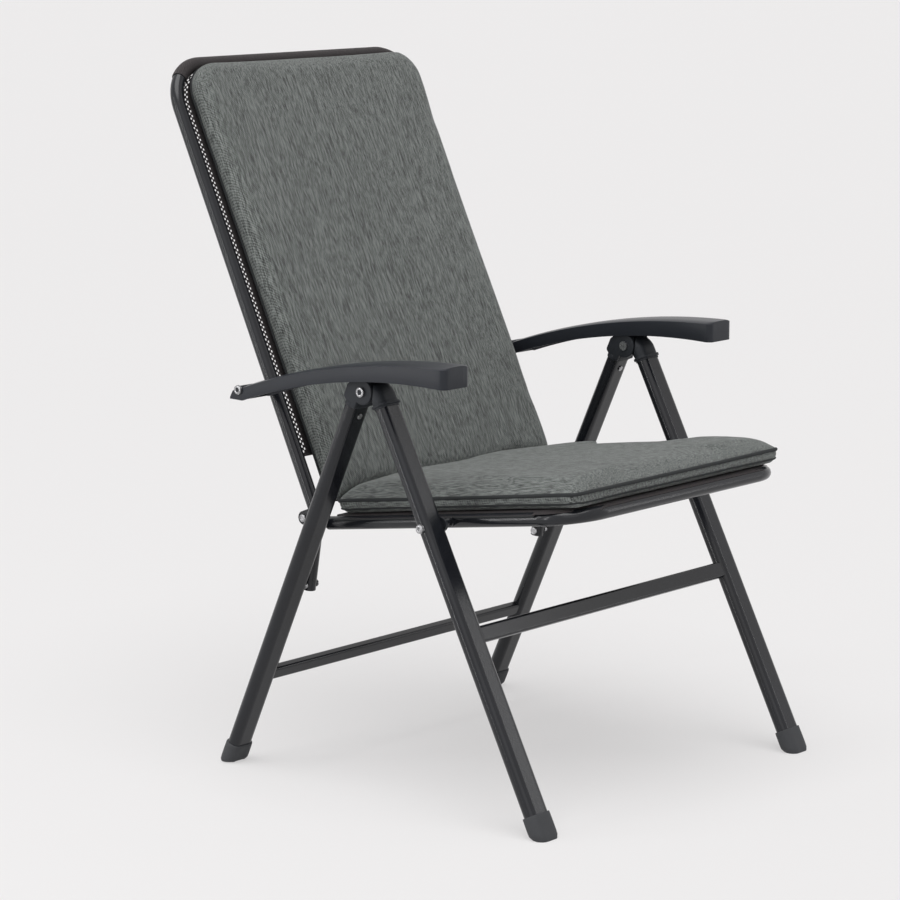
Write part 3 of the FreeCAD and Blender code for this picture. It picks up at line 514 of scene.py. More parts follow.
def direct_ray(tree, path):
    """One for rays from the camera and for mirrored or refracted ones."""
    found = path.outputs["Is Camera Ray"]
    for kind in ("Is Glossy Ray", "Is Transmission Ray"):
        either = tree.nodes.new("ShaderNodeMath")
        either.operation = "MAXIMUM"
        tree.links.new(found, either.inputs[0])
        tree.links.new(path.outputs[kind], either.inputs[1])
        found = either.outputs[0]
    return found


def seen_by(make, surface, share, colour):
    """Blend a plain glow into a surface for direct rays only, which leaves part of its shadow."""
    tree = make.tree
    glow = make.node("Emission", {"Color": colour, "Strength": 1.0})
    path = make.node("LightPath")
    factor = make.maths("MULTIPLY", direct_ray(tree, path), share)
    mixer = make.node("MixShader", {0: factor, 1: surface, 2: glow.outputs[0]})
    out = [node for node in tree.nodes if node.type == "OUTPUT_MATERIAL"][0]
    tree.links.new(mixer.outputs[0], out.inputs[0])


class CHAIR_OT_stage(bpy.types.Operator):
    """Floor, studio light and camera"""
    bl_idname = "chair.stage"
    bl_label = "Stage"

    def execute(self, context):
        clear()
        scene = context.scene
        bpy.ops.mesh.primitive_plane_add(size=60, location=(0, 0, -0.0003))
        floor = context.object
        floor.name = "studio_floor"
        material, make = new_material("studio_floor")
        if make:
            haze = make.noise(make.coords(), 0.6, 1.0)
            make.set("Base Color", make.mix(haze, (0.775, 0.768, 0.770), (0.782, 0.775, 0.777)))
            make.set("Roughness", 0.9)
            make.set("Specular IOR Level", 0.1)
            seen_by(make, make.shader.outputs[0], 0.60, PALE)
        floor.data.materials.append(material)
        world = bpy.data.worlds.new("studio")
        world.use_nodes = True
        tree = world.node_tree
        ground = tree.nodes["Background"]
        ground.inputs["Color"].default_value = PALE
        ground.inputs["Strength"].default_value = 0.42
        seen = tree.nodes.new("ShaderNodeBackground")
        seen.inputs["Color"].default_value = PALE
        path = tree.nodes.new("ShaderNodeLightPath")
        mixer = tree.nodes.new("ShaderNodeMixShader")
        tree.links.new(direct_ray(tree, path), mixer.inputs[0])
        tree.links.new(ground.outputs[0], mixer.inputs[1])
        tree.links.new(seen.outputs[0], mixer.inputs[2])
        tree.links.new(mixer.outputs[0], tree.nodes["World Output"].inputs[0])
        scene.world = world
        lamps = (
            ("overhead", (math.radians(16), 0, math.radians(-60)), 2.15, 55),
            ("side", (math.radians(62), 0, math.radians(-48)), 0.16, 40),
        )
        for name, turn, power, spread in lamps:
            bpy.ops.object.light_add(type="SUN", location=(0, 0, 4), rotation=turn)
            lamp = context.object
            lamp.name = name
            lamp.data.energy = power
            lamp.data.angle = math.radians(spread)
        strips = (
            ("strip_near", (-3.1, 0.55, 0.9), (0.09, 2.6), 15),
            ("strip_rear", (-2.5, 1.75, 0.9), (0.09, 2.6), 13),
            ("strip_right", (2.6, -2.6, 1.4), (0.10, 2.6), 6),
        )
        for name, location, size, power in strips:
            bpy.ops.object.light_add(type="AREA", location=location)
            lamp = context.object
            lamp.name = name
            lamp.data.shape = "RECTANGLE"
            lamp.data.size = size[0]
            lamp.data.size_y = size[1]
            lamp.data.energy = power
            aim = Vector((0, 0, location[2])) - Vector(location)
            lamp.rotation_euler = aim.to_track_quat("-Z", "Y").to_euler()
        bpy.ops.object.camera_add(
            location=(-3.551, -3.0622, 1.3023),
            rotation=(math.radians(90 - 10.22), 0, math.radians(-48.77)))
        camera = context.object
        camera.name = "studio_camera"
        camera.data.sensor_width = 36
        camera.data.lens = 127.32
        camera.data.clip_end = 200
        scene.camera = camera
        scene.view_settings.view_transform = "Standard"
        return {"FINISHED"}


class CHAIR_OT_metal(bpy.types.Operator):
    """Powder coat on the tubes and their welded plates"""
    bl_idname = "chair.metal"
    bl_label = "Metal frame"

    def execute(self, context):
        names = ["back_frame", "seat_frame", "front_crossbar", "rear_crossbar"]
        for side, _ in SIDES:
            names += [side + tail for tail in ("_front_leg", "_rear_leg", "_back_lug", "_seat_end")]
        paint(names, powder_coat())
        return {"FINISHED"}


class CHAIR_OT_fittings(bpy.types.Operator):
    """Hinge fittings, cups, racks and bushes"""
    bl_idname = "chair.fittings"
    bl_label = "Fittings"

    def execute(self, context):
        names = ["arm_bushes"]
        for side, _ in SIDES:
            names += [side + tail for tail in ("_peg_cup", "_latch_rack")]
        paint(names, plastic())
        return {"FINISHED"}


def ring_head(start, out, radius, hollow, thick):
    """A rolled rivet head: a low dome with a sunk middle, that faces a direction."""
    head = round_rod("head", start, start + out * thick, radius, 36)
    pick(head, "FACE", lambda face: face.normal.dot(out) > 0.9)
    rim = 0.28
    bpy.ops.mesh.inset(thickness=radius * rim, depth=thick * rim)
    bpy.ops.mesh.inset(thickness=radius * (1 - hollow - rim) * 0.6, depth=0)
    bpy.ops.mesh.inset(thickness=radius * 0.06, depth=-thick)
    bpy.ops.object.mode_set(mode="OBJECT")
    soften(head, radius * 0.09, 2, 25)
    return head


class CHAIR_OT_rivets(bpy.types.Operator):
    """Rolled rivet heads over the plain rivets"""
    bl_idname = "chair.rivets"
    bl_label = "Rivets"

    def execute(self, context):
        steel = plated_steel()
        paint(["left_seat_peg", "right_seat_peg"], powder_coat())
        paint(["hinge_rivets", "back_rivets", "seat_rivets", "arm_rivets", "cup_rivets",
               "knuckle_rivets"], steel)
        heads = {"back": [], "front_legs": [], "rear_legs": []}
        # dark discs set into the heads' sunk middles are painted shade inside the hollow rivets
        hollow_shades = {"back": [], "front_legs": [], "rear_legs": []}
        low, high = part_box("cup_rivets")
        cup_y = (low.y + high.y) / 2
        cup_z = (low.z + high.z) / 2
        bolt = PLACES["rear"] @ Vector((0, 0.0046, -0.0455))
        hinge_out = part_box("hinge_rivets")[1].x
        arm_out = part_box("arm_rivets")[1].x
        cup_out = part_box("cup_rivets")[1].x
        for _, sign in SIDES:
            spots = (
                ("front_legs", hinge_out, HINGE, 0.0072, 1, 0.42),
                ("front_legs", 0.2770, HINGE, 0.0072, -1, 0.42),
                ("back", arm_out, ARM_PIVOT, 0.0066, 1, 0.45),
                ("back", 0.2750, SEAT_PIVOT, 0.0056, 1, 0.5),
                ("rear_legs", 0.2512, BACK_PIVOT, 0.0056, -1, 0.5),
            )
            for body, x, spot, radius, out, hollow in spots:
                start = Vector((x * sign, spot.y, spot.z))
                way = Vector((out * sign, 0, 0))
                heads[body].append(ring_head(start, way, radius, hollow, 0.0018))
                # a dark disc in the sunk middle: painted shade of the rivet's hollow
                hollow_shades[body].append(round_rod("core", start, start + way * 0.0011,
                                             radius * 0.42, 20))
            heads["front_legs"].append(ring_head(
                Vector((cup_out * sign, cup_y, cup_z)), Vector((sign, 0, 0)), 0.0062, 0.2, 0.0022))
            heads["rear_legs"].append(ring_head(
                bolt + Vector((LEG_PLANE * sign, 0, 0)),
                PLACES["rear"].to_3x3() @ Vector((0, -1, 0)), 0.0042, 0.3, 0.0018))
        for body in heads:
            piece = join(body + "_heads", heads[body])
            finish_piece(piece, body + "_rivet_heads", body, steel)
        # the painted hollow shade discs take the dark fitting plastic
        for body in hollow_shades:
            piece = join(body + "_hollow_shades", hollow_shades[body])
            finish_piece(piece, body + "_rivet_hollow_shades", body, plastic())
        return {"FINISHED"}


def flat_oval(u, v, reach, half):
    """Map a point of the square from -1 to 1 to a flat-oval section."""
    core = 1 - half / reach
    if abs(u) > core:
        t = (abs(u) - core) / (1 - core)
        long_side = max(abs(t), abs(v), 1e-9)
        k = long_side / max(math.hypot(t, v), 1e-9)
        u = math.copysign(core + t * k * (1 - core), u)
        v = v * k
    return u * reach, v * half


def oval_sleeve(name, x, w, low, high, reach, half, cuts=4):
    """A flat-oval collar or length of tube, upright in a leg's frame."""
    piece = block(name, (-1, -1, low), (1, 1, high), (13, 7, cuts))

    def rule(p):
        u, v = flat_oval(p.x, p.y, reach, half)
        return Vector((x + u, w + v, p.z))

    return reshape(piece, rule)


def plate(name, outline, low, high):
    """A flat plate: its outline is across the leg and along it, its thickness along X."""
    clear()
    bpy.ops.mesh.primitive_circle_add(vertices=len(outline), radius=1, fill_type="NGON")
    piece = bpy.context.object
    for point, (w, v) in zip(piece.data.vertices, outline):
        point.co = (low, w, v)
    bpy.ops.object.mode_set(mode="EDIT")
    bpy.ops.mesh.select_all(action="SELECT")
    bpy.ops.mesh.extrude_region_move(TRANSFORM_OT_translate={"value": (high - low, 0, 0)})
    bpy.ops.object.mode_set(mode="OBJECT")
    face_outwards(piece)
    piece.name = name
    return piece


def ring_of(radius, start, end, step=8):
    """Points of an arc round the hinge, in degrees."""
    count = max(2, int(abs(end - start) / step))
    points = []
    for index in range(count + 1):
        angle = math.radians(start + (end - start) * index / count)
        points.append((radius * math.cos(angle), radius * math.sin(angle)))
    return points


# half of a leg tube across the chair and fore and aft
LEG_HALF = 0.0200
TUBE_DEEP = 0.0105
# the front and rear leg's middle lines, fore and aft of the hinge
FRONT_W = -0.01746
REAR_W = 0.0151
# the hinge cheeks' radius and inner face, and the tongue between them
CHEEK = 0.0185
CHEEK_IN = 0.0139
TONGUE = 0.0131
# the quarter bend's radius and the height of its lower end
BEND = 0.0160
BEND_UP = -0.0160


class CHAIR_OT_hinges(bpy.types.Operator):
    """Hinge cheeks on the rear legs and quarter bends on the front legs"""
    bl_idname = "chair.hinges"
    bl_label = "Hinges"

    def execute(self, context):
        for side, sign in SIDES:
            x = LEG_PLANE * sign
            self.knuckle(side, x)
            self.elbow(side, x)
            for kind, w, low, high in (("front", FRONT_W, -0.0503, -0.0255),
                                       ("rear", REAR_W, -0.0503, -0.0260)):
                tube = oval_sleeve("tube", x, w, low, high, LEG_HALF, TUBE_DEEP)
                set_in(tube, kind)
                finish_piece(tube, "%s_%s_tube_top" % (side, kind), kind + "_legs",
                             powder_coat(), (), 50)
        return {"FINISHED"}

    def knuckle(self, side, x):
        back = REAR_W + 0.0135
        outline = ring_of(CHEEK, 62, 278) + [
            (0.0026, -0.0295), (0.0140, -0.0305), (back - 0.001, -0.0225), (back, -0.0200),
            (back, -0.0030), (back - 0.0035, 0.0035), (0.0150, 0.0130)]
        pieces = [plate("cheek", outline, x + CHEEK_IN, x + LEG_HALF + 0.0004),
                  plate("cheek", outline, x - LEG_HALF - 0.0004, x - CHEEK_IN)]
        inner = [(0.0213, -0.0008), (back - 0.0035, 0.0020), (back, -0.0030),
                 (back, -0.0200), (back - 0.001, -0.0225), (0.0140, -0.0305),
                 (0.0026, -0.0295)] + ring_of(0.0213, 276, 358)
        pieces.append(plate("block", inner, x - CHEEK_IN, x + CHEEK_IN))
        for piece in pieces:
            soften(piece, 0.0014, 3, 28)
        collar = oval_sleeve("collar", x, REAR_W, -0.0315, -0.0240, LEG_HALF + 0.0012,
                             TUBE_DEEP + 0.0016)
        soften(collar, 0.0012, 2, 40)
        fitting = join("knuckle", pieces + [collar])
        set_in(fitting, "rear")
        finish_piece(fitting, side + "_hinge_cheeks", "rear_legs", plastic(),
                     [side + "_rear_knuckle"], 32)

    def elbow(self, side, x):
        turn = BEND * math.pi / 2
        straight = 0.0120
        length = turn + straight
        pipe = block("bend", (-1, -1, 0), (1, 1, length), (17, 9, 39))
        half = TUBE_DEEP + 0.0012

        def rule(p):
            s = p.z
            u, v = flat_oval(p.x, p.y, LEG_HALF + 0.0008, half)
            if s < turn:
                angle = math.pi / 2 * (1 - s / turn)
                w = FRONT_W + BEND - BEND * math.cos(angle) - v * math.cos(angle)
                up = BEND_UP + BEND * math.sin(angle) + v * math.sin(angle)
            else:
                w = FRONT_W - v
                up = BEND_UP - (s - turn)
            away = math.hypot(w, up)
            narrow = TONGUE / (LEG_HALF + 0.0008)
            part = min(1.0, max(0.0, (away - CHEEK - 0.0006) / 0.0018))
            u *= narrow + (1 - narrow) * part
            return Vector((x + u, w, up))

        reshape(pipe, rule)
        tongue = plate("tongue", ring_of(0.0165, 0, 352), x - TONGUE, x + TONGUE)
        web = plate("web", [(-0.004, 0.010), (-0.026, -0.016), (-0.026, -0.029),
                            (-0.0065, -0.029), (-0.004, -0.014)], x - TONGUE, x + TONGUE)
        collar = oval_sleeve("collar", x, FRONT_W, -0.0300, -0.0262, LEG_HALF + 0.0034,
                             TUBE_DEEP + 0.0034)
        neck = oval_sleeve("neck", x, FRONT_W, -0.0330, -0.0270, LEG_HALF + 0.0012,
                           TUBE_DEEP + 0.0012)
        soften(collar, 0.0011, 3, 40)
        soften(tongue, 0.0008, 2, 40)
        fitting = join("elbow", [pipe, tongue, web, collar, neck])
        set_in(fitting, "front")
        face_outwards(fitting)
        finish_piece(fitting, side + "_front_bend", "front_legs", plastic(),
                     [side + "_front_elbow"], 38)


# leg length from the hinge to the floor, and a foot cap's half sizes and height
LEG_ENDS = {"front": 0.6711, "rear": 0.6547}
FOOT_REACH = 0.0225
FOOT_HALF = 0.0130
FOOT_RISE = 0.0345
FOOT_SINK = 0.004


def foot_point(p, x, w, kind):
    """Place a point of a block in a foot cap: flat oval, cut level with the floor."""
    end = LEG_ENDS[kind]
    top = end - FOOT_RISE
    long, deep = flat_oval((p.x - x) / FOOT_REACH, (p.y - w) / FOOT_HALF, FOOT_REACH, FOOT_HALF)
    depth = (-p.z - top) / (end + FOOT_SINK - top)
    floor_z = -end - deep * math.tan(math.radians(LEANS[kind]))
    z = floor_z if depth > 0.999 else -top + (floor_z + top) * depth
    # slight swell and rounded lower rim
    rim = max(0.0, depth - 0.80) / 0.20
    grow = (1 - 0.13 * rim * rim) * (1 + 0.012 * math.sin(math.pi * min(1.0, depth)))
    return Vector((x + long * grow, w + deep * grow, z))


class CHAIR_OT_feet(bpy.types.Operator):
    """Rounded rubber caps on the legs"""
    bl_idname = "chair.feet"
    bl_label = "Feet"

    def execute(self, context):
        rubber = moulded("foot_rubber", colours().rubber, 0.62, 700.0, 0.3)
        for side, sign in SIDES:
            for kind, w in (("front", FRONT_W), ("rear", REAR_W)):
                x = LEG_PLANE * sign
                end = LEG_ENDS[kind]
                cap = block("cap", (x - FOOT_REACH, w - FOOT_HALF, -(end + FOOT_SINK)),
                            (x + FOOT_REACH, w + FOOT_HALF, FOOT_RISE - end), (9, 7, 6))
                reshape(cap, lambda p: foot_point(p, x, w, kind))
                soften(cap, 0.0028, 3, 40)
                set_in(cap, kind)
                # the lower face stays on the floor
                reshape(cap, lambda p: Vector((p.x, p.y, max(p.z, 0.0))))
                finish_piece(cap, "%s_%s_foot_cap" % (side, kind), kind + "_legs",
                             rubber, ["%s_%s_foot" % (side, kind)], 50)
        return {"FINISHED"}


def arched(y, crest, radius, middle):
    """Height of a shallow arc along the armrest, whose crest lies forward of the pivot."""
    return crest - radius + math.sqrt(radius ** 2 - (y + middle) ** 2)


def arm_top(y):
    """Upper line of the armrest, from its pivot."""
    return arched(y, 0.0675, 1.169, 0.389)


def arm_under(y):
    """Lower line of the armrest."""
    return arched(y, 0.0410, 1.010, 0.339)


class CHAIR_OT_armrests(bpy.types.Operator):
    """Moulded armrests with a crowned top and an open underside"""
    bl_idname = "chair.armrests"
    bl_label = "Armrests"

    def execute(self, context):
        material = moulded("armrest_plastic", colours().moulding, 0.34, 1100.0, 0.10)
        for side, sign in SIDES:
            arm = block("arm", (-1, 0, 0), (1, 1, 1), (15, 63, 0))
            # the middle of the underside is drawn up inside to leave thin walls
            pick(arm, "FACE", self.under_middle)
            bpy.ops.mesh.extrude_region_move(TRANSFORM_OT_translate={"value": (0, 0, 0.5)})
            bpy.ops.object.mode_set(mode="OBJECT")
            reshape(arm, armrest_point)
            soften(arm, 0.0016, 3, 42)
            reshape(arm, lambda p: p + Vector((ARM_PLANE * sign, 0, 0)))
            set_in(arm, "arm")
            finish_piece(arm, side + "_armrest_shell", side + "_arm", material,
                         [side + "_armrest"], 40)
        return {"FINISHED"}

    def under_middle(self, face):
        spot = face.calc_center_median()
        return face.normal.z < -0.9 and abs(spot.x) < 0.87 and 0.09 < spot.y < 0.93


# the armrest's ends fore and aft of its pivot, half width and front corner radius
ARM_FRONT = -0.394
ARM_TAIL = 0.0186
ARM_HALF = 0.029
ARM_NOSE = 0.0105
# length of the rounded tail, and the share of the unit block given to each end
ARM_TAIL_RUN = 0.030
ARM_END_SHARE = 0.125


def armrest_point(p):
    """Place a point of the unit block in the armrest: across, front to tail, under to top."""
    across = p.x
    if 0.88 < abs(across) < 0.99:
        across = math.copysign(0.912, across)
    run = p.y
    if run < ARM_END_SHARE:
        y = ARM_FRONT + ARM_NOSE * (1 - math.cos(run / ARM_END_SHARE * math.pi / 2))
    elif run > 1 - ARM_END_SHARE:
        part = (run - 1 + ARM_END_SHARE) / ARM_END_SHARE
        y = ARM_TAIL - ARM_TAIL_RUN * math.cos(part * math.pi / 2)
    else:
        start = ARM_FRONT + ARM_NOSE
        end = ARM_TAIL - ARM_TAIL_RUN
        y = start + (end - start) * (run - ARM_END_SHARE) / (1 - 2 * ARM_END_SHARE)
    half = ARM_HALF
    into = (ARM_FRONT + ARM_NOSE - y) / ARM_NOSE
    if into > 0:
        half -= ARM_NOSE * (1 - math.sqrt(max(0.0, 1 - into ** 2)))
    low = arm_under(min(y, -0.006))
    if y > -0.006:
        low = -0.0150 + (arm_under(-0.006) + 0.0150) * max(0.0, 1 - (y + 0.006) / 0.020)
    top = arm_top(y)
    if y > 0.003:
        bend = min(1.0, (y - 0.003) / (ARM_TAIL - 0.003))
        top = arm_top(0.003) - (arm_top(0.003) + 0.0125) * bend ** 3.6
    edge = abs(across)
    crown = 0.0030 * (1 - edge ** 4) * min(1.0, (ARM_TAIL - y) / ARM_TAIL_RUN)
    if p.z > 0.9:
        z = top + crown
    elif p.z < 0.1:
        z = low
    else:
        z = max(low + 0.001, top - 0.0062)
    return Vector((across * half, y, z))


def rounded_loop(half, low, high, near_corner, far_corner, step=0.0075):
    """A closed loop of (u, v) points round a rectangle with round corners."""
    loop = []

    def line(a, b):
        count = max(1, int((Vector(b) - Vector(a)).length / step))
        for i in range(count):
            loop.append(Vector(a).lerp(Vector(b), i / count))

    def arc(cu, cv, radius, start):
        count = max(4, int(radius * math.pi / 2 / step))
        for i in range(count):
            angle = math.radians(start + 90 * i / count)
            loop.append(Vector((cu + radius * math.cos(angle), cv + radius * math.sin(angle))))

    n = near_corner
    f = far_corner
    line((-half + n, low), (half - n, low))
    arc(half - n, low + n, n, -90)
    line((half, low + n), (half, high - f))
    arc(half - f, high - f, f, 0)
    line((half - f, high), (-half + f, high))
    arc(-half + f, high - f, f, 90)
    line((-half, high - f), (-half, low + n))
    arc(-half + n, low + n, n, 180)
    return loop


def slab_from_loop(name, loop, levels):
    """A closed slab whose rings are the loop at several heights, drawn in or out."""
    clear()
    data = bpy.data.meshes.new(name)
    piece = bpy.data.objects.new(name, data)
    bpy.context.scene.collection.objects.link(piece)
    grid = bmesh.new()
    rings = []
    for height, draw in levels:
        ring = []
        for i, point in enumerate(loop):
            before = loop[i - 1]
            after = loop[(i + 1) % len(loop)]
            run = (after - before).normalized()
            normal = Vector((run.y, -run.x))
            spot = point + normal * draw
            ring.append(grid.verts.new((spot.x, spot.y, height)))
        rings.append(ring)
    count = len(loop)
    for lower, upper in zip(rings, rings[1:]):
        for i in range(count):
            k = (i + 1) % count
            grid.faces.new((lower[i], lower[k], upper[k], upper[i]))
    grid.faces.new(list(reversed(rings[0])))
    grid.faces.new(rings[-1])
    grid.normal_update()
    grid.to_mesh(data)
    grid.free()
    activate(piece)
    return piece


# how far the air may move a point of a cushion, its pressure and how many frames it blows for
PLUMP_LIMIT = 0.006
PLUMP_PRESSURE = 3.0
PLUMP_FRAMES = 20


def plump(piece, floor):
    """Fill a slab with air as cloth, above a floor, and round it off."""
    modifier(piece, "REMESH", mode="VOXEL", voxel_size=sizes().voxel)
    before = [v.co.copy() for v in piece.data.vertices]
    activate(piece)
    cloth = piece.modifiers.new("Cloth", "CLOTH")
    cloth.settings.use_pressure = True
    cloth.settings.uniform_pressure_force = PLUMP_PRESSURE
    cloth.settings.effector_weights.gravity = 0
    cloth.settings.quality = 5
    cloth.point_cache.frame_start = 1
    cloth.point_cache.frame_end = PLUMP_FRAMES
    scene = bpy.context.scene
    for number in range(1, PLUMP_FRAMES + 1):
        scene.frame_set(number)
    bpy.ops.object.modifier_apply(modifier=cloth.name)
    scene.frame_set(1)
    for index, point in enumerate(piece.data.vertices):
        shift = point.co - before[index]
        if shift.length > PLUMP_LIMIT:
            shift.length = PLUMP_LIMIT
        spot = before[index] + shift
        spot.z = max(spot.z, floor)
        point.co = spot
    modifier(piece, "SMOOTH", factor=0.5, iterations=3)
    modifier(piece, "SUBSURF", levels=1, render_levels=1)


def curve_piece(name, points, radius, kind, sides):
    """A round cord or tube through points: POLY is open and capped, NURBS is a closed loop."""
    curve = bpy.data.curves.new(name, "CURVE")
    curve.dimensions = "3D"
    curve.bevel_depth = radius
    curve.bevel_resolution = sides
    curve.use_fill_caps = kind == "POLY"
    line = curve.splines.new(kind)
    line.points.add(len(points) - 1)
    for index, spot in enumerate(points):
        line.points[index].co = (spot.x, spot.y, spot.z, 1)
    if kind == "NURBS":
        line.use_cyclic_u = True
        line.order_u = 3
    made = bpy.data.objects.new(name, curve)
    bpy.context.scene.collection.objects.link(made)
    activate(made)
    bpy.ops.object.convert(target="MESH")
    return bpy.context.object


def cord_round(name, piece, loop, height, radius):
    """A sewn cord at one height of a plumped cushion's edge."""
    tree = BVHTree.FromObject(piece, bpy.context.evaluated_depsgraph_get())
    points = []
    for spot in loop:
        near, normal = tree.find_nearest(Vector((spot.x, spot.y, height)))[:2]
        points.append(near + normal * radius * 0.35)
    return curve_piece(name, points, radius, "NURBS", 3)


class CHAIR_OT_seat_cushion(bpy.types.Operator):
    """Seat cushion: crowned top panel, sewn cord and a side band"""
    bl_idname = "chair.seat_cushion"
    bl_label = "Seat cushion"

    def execute(self, context):
        size = sizes()
        base = RAIL_DROP + 0.0124
        loop = rounded_loop(0.2425, -0.4940, -0.0300, 0.016, 0.011)
        band = size.band
        crown = size.crown
        pad = slab_from_loop("pad", loop, [
            (base, -0.008), (base + 0.004, -0.0025), (base + band * 0.55, 0.0005),
            (base + band, 0.0008), (base + band + 0.004, -0.006), (base + band + 0.011, -0.020),
            (base + band + crown * 0.82, -0.048), (base + band + crown * 0.95, -0.085),
            (base + band + crown, -0.130)])
        plump(pad, base)
        middle_y = -0.26

        def relief(p):
            # soft hollows along the middle and slight waves near the edges
            if p.z > base + band + 0.004:
                u = p.x / 0.237
                v = (p.y - middle_y) / 0.23
                edge = max(abs(u), abs(v))
                wave = math.sin(p.x * 38 + 1.2) * math.sin(p.y * 23 + 0.5)
                p.z += 0.0009 * wave * min(1.0, edge)
                p.z -= 0.0016 * math.exp(-((u - 0.1) ** 2) * 5 - ((v - 0.2) ** 2) * 4)
            return p

        reshape(pad, relief)
        cord = cord_round("cord", pad, loop, base + band + 0.0006, size.piping_and_shadow_cord)
        hem = cord_round("hem", pad, loop, base + 0.0015, size.piping_and_shadow_cord * 0.55)
        for piece in (pad, cord, hem):
            set_in(piece, "seat")
        finish_piece(pad, "seat_pad", "seat", cushion_cloth("seat"),
                     ["seat_cushion"], 60)
        finish_piece(cord, "seat_pad_piping", "seat", sewn_and_shadow_cord(), (), 60)
        finish_piece(hem, "seat_pad_hem", "seat", sewn_and_shadow_cord(), (), 60)
        for piece in (pad, cord, hem):
            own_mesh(piece)
        return {"FINISHED"}


class CHAIR_OT_back_cushion(bpy.types.Operator):
    """Back cushion: a long flat pad with soft round edges"""
    bl_idname = "chair.back_cushion"
    bl_label = "Back cushion"

    def execute(self, context):
        size = sizes()
        face = -BACK_PLANE + 0.0014
        loop = [spot + Vector((0.0055, 0)) for spot in
                rounded_loop(0.2500, 0.0960, 0.7925, 0.016, 0.050)]
        thick = size.back_thick
        pad = slab_from_loop("pad", loop, [
            (0.0, -0.007), (0.003, -0.004), (0.010, -0.001), (0.020, 0.0), (0.0270, -0.0025),
            (0.0315, -0.0075), (thick * 0.94, -0.018), (thick * 0.975, -0.045),
            (thick, -0.090)])
        plump(pad, 0.0)

        def stand(p):
            # the slab was made lying down: its plan is across and up, its height forwards
            wave = 0.0011 * math.sin(p.x * 21 + 0.4) * math.sin(p.y * 13 + 1.0)
            lift = wave if p.z > 0.028 else 0.0
            return Vector((p.x, -face - p.z - lift, p.y))

        # a dark cord round the pad's rear edge, against the sling: painted shadow line where pad
        # and sling meet
        cord = cord_round("cord", pad, loop, 0.004, size.piping_and_shadow_cord * 0.8)
        for piece in (pad, cord):
            reshape(piece, stand)
            set_in(piece, "back")
            face_outwards(piece)
        finish_piece(pad, "back_pad", "back", cushion_cloth("back"),
                     ["back_cushion"], 60)
        # the dark cord along the rear edge is painted shadow, not piping
        finish_piece(cord, "back_pad_shadow_cord", "back", sewn_and_shadow_cord(), (), 60)
        for piece in (pad, cord):
            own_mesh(piece)
        return {"FINISHED"}


def panel(name, low_u, high_u, low_v, high_v, cuts_u, cuts_v):
    """A plain flat panel in the XY plane."""
    clear()
    bpy.ops.mesh.primitive_grid_add(
        x_subdivisions=cuts_u, y_subdivisions=cuts_v, size=1,
        location=((low_u + high_u) / 2, (low_v + high_v) / 2, 0))
    piece = bpy.context.object
    piece.name = name
    piece.scale = (high_u - low_u, high_v - low_v, 1)
    bpy.ops.object.transform_apply(location=True, rotation=True, scale=True)
    return piece


def lattice(name, low_u, high_u, low_v, high_v, pitch):
    """A flat strip of open mesh cells, lying in the XY plane."""
    across = max(1, int(round((high_u - low_u) / pitch)))
    along = max(1, int(round((high_v - low_v) / pitch)))
    strip = panel(name, low_u, high_u, low_v, high_v, across, along)

    def open_cell(face):
        middle = face.calc_center_median()
        i = int((middle.x - low_u) / (high_u - low_u) * across)
        k = int((middle.y - low_v) / (high_v - low_v) * along)
        return (i + k) % 2 == 0 and 0 < k < along - 1

    pick(strip, "FACE", open_cell)
    bpy.ops.mesh.inset(thickness=pitch * 0.06, use_individual=True)
    bpy.ops.mesh.delete(type="FACE")
    bpy.ops.object.mode_set(mode="OBJECT")
    return strip


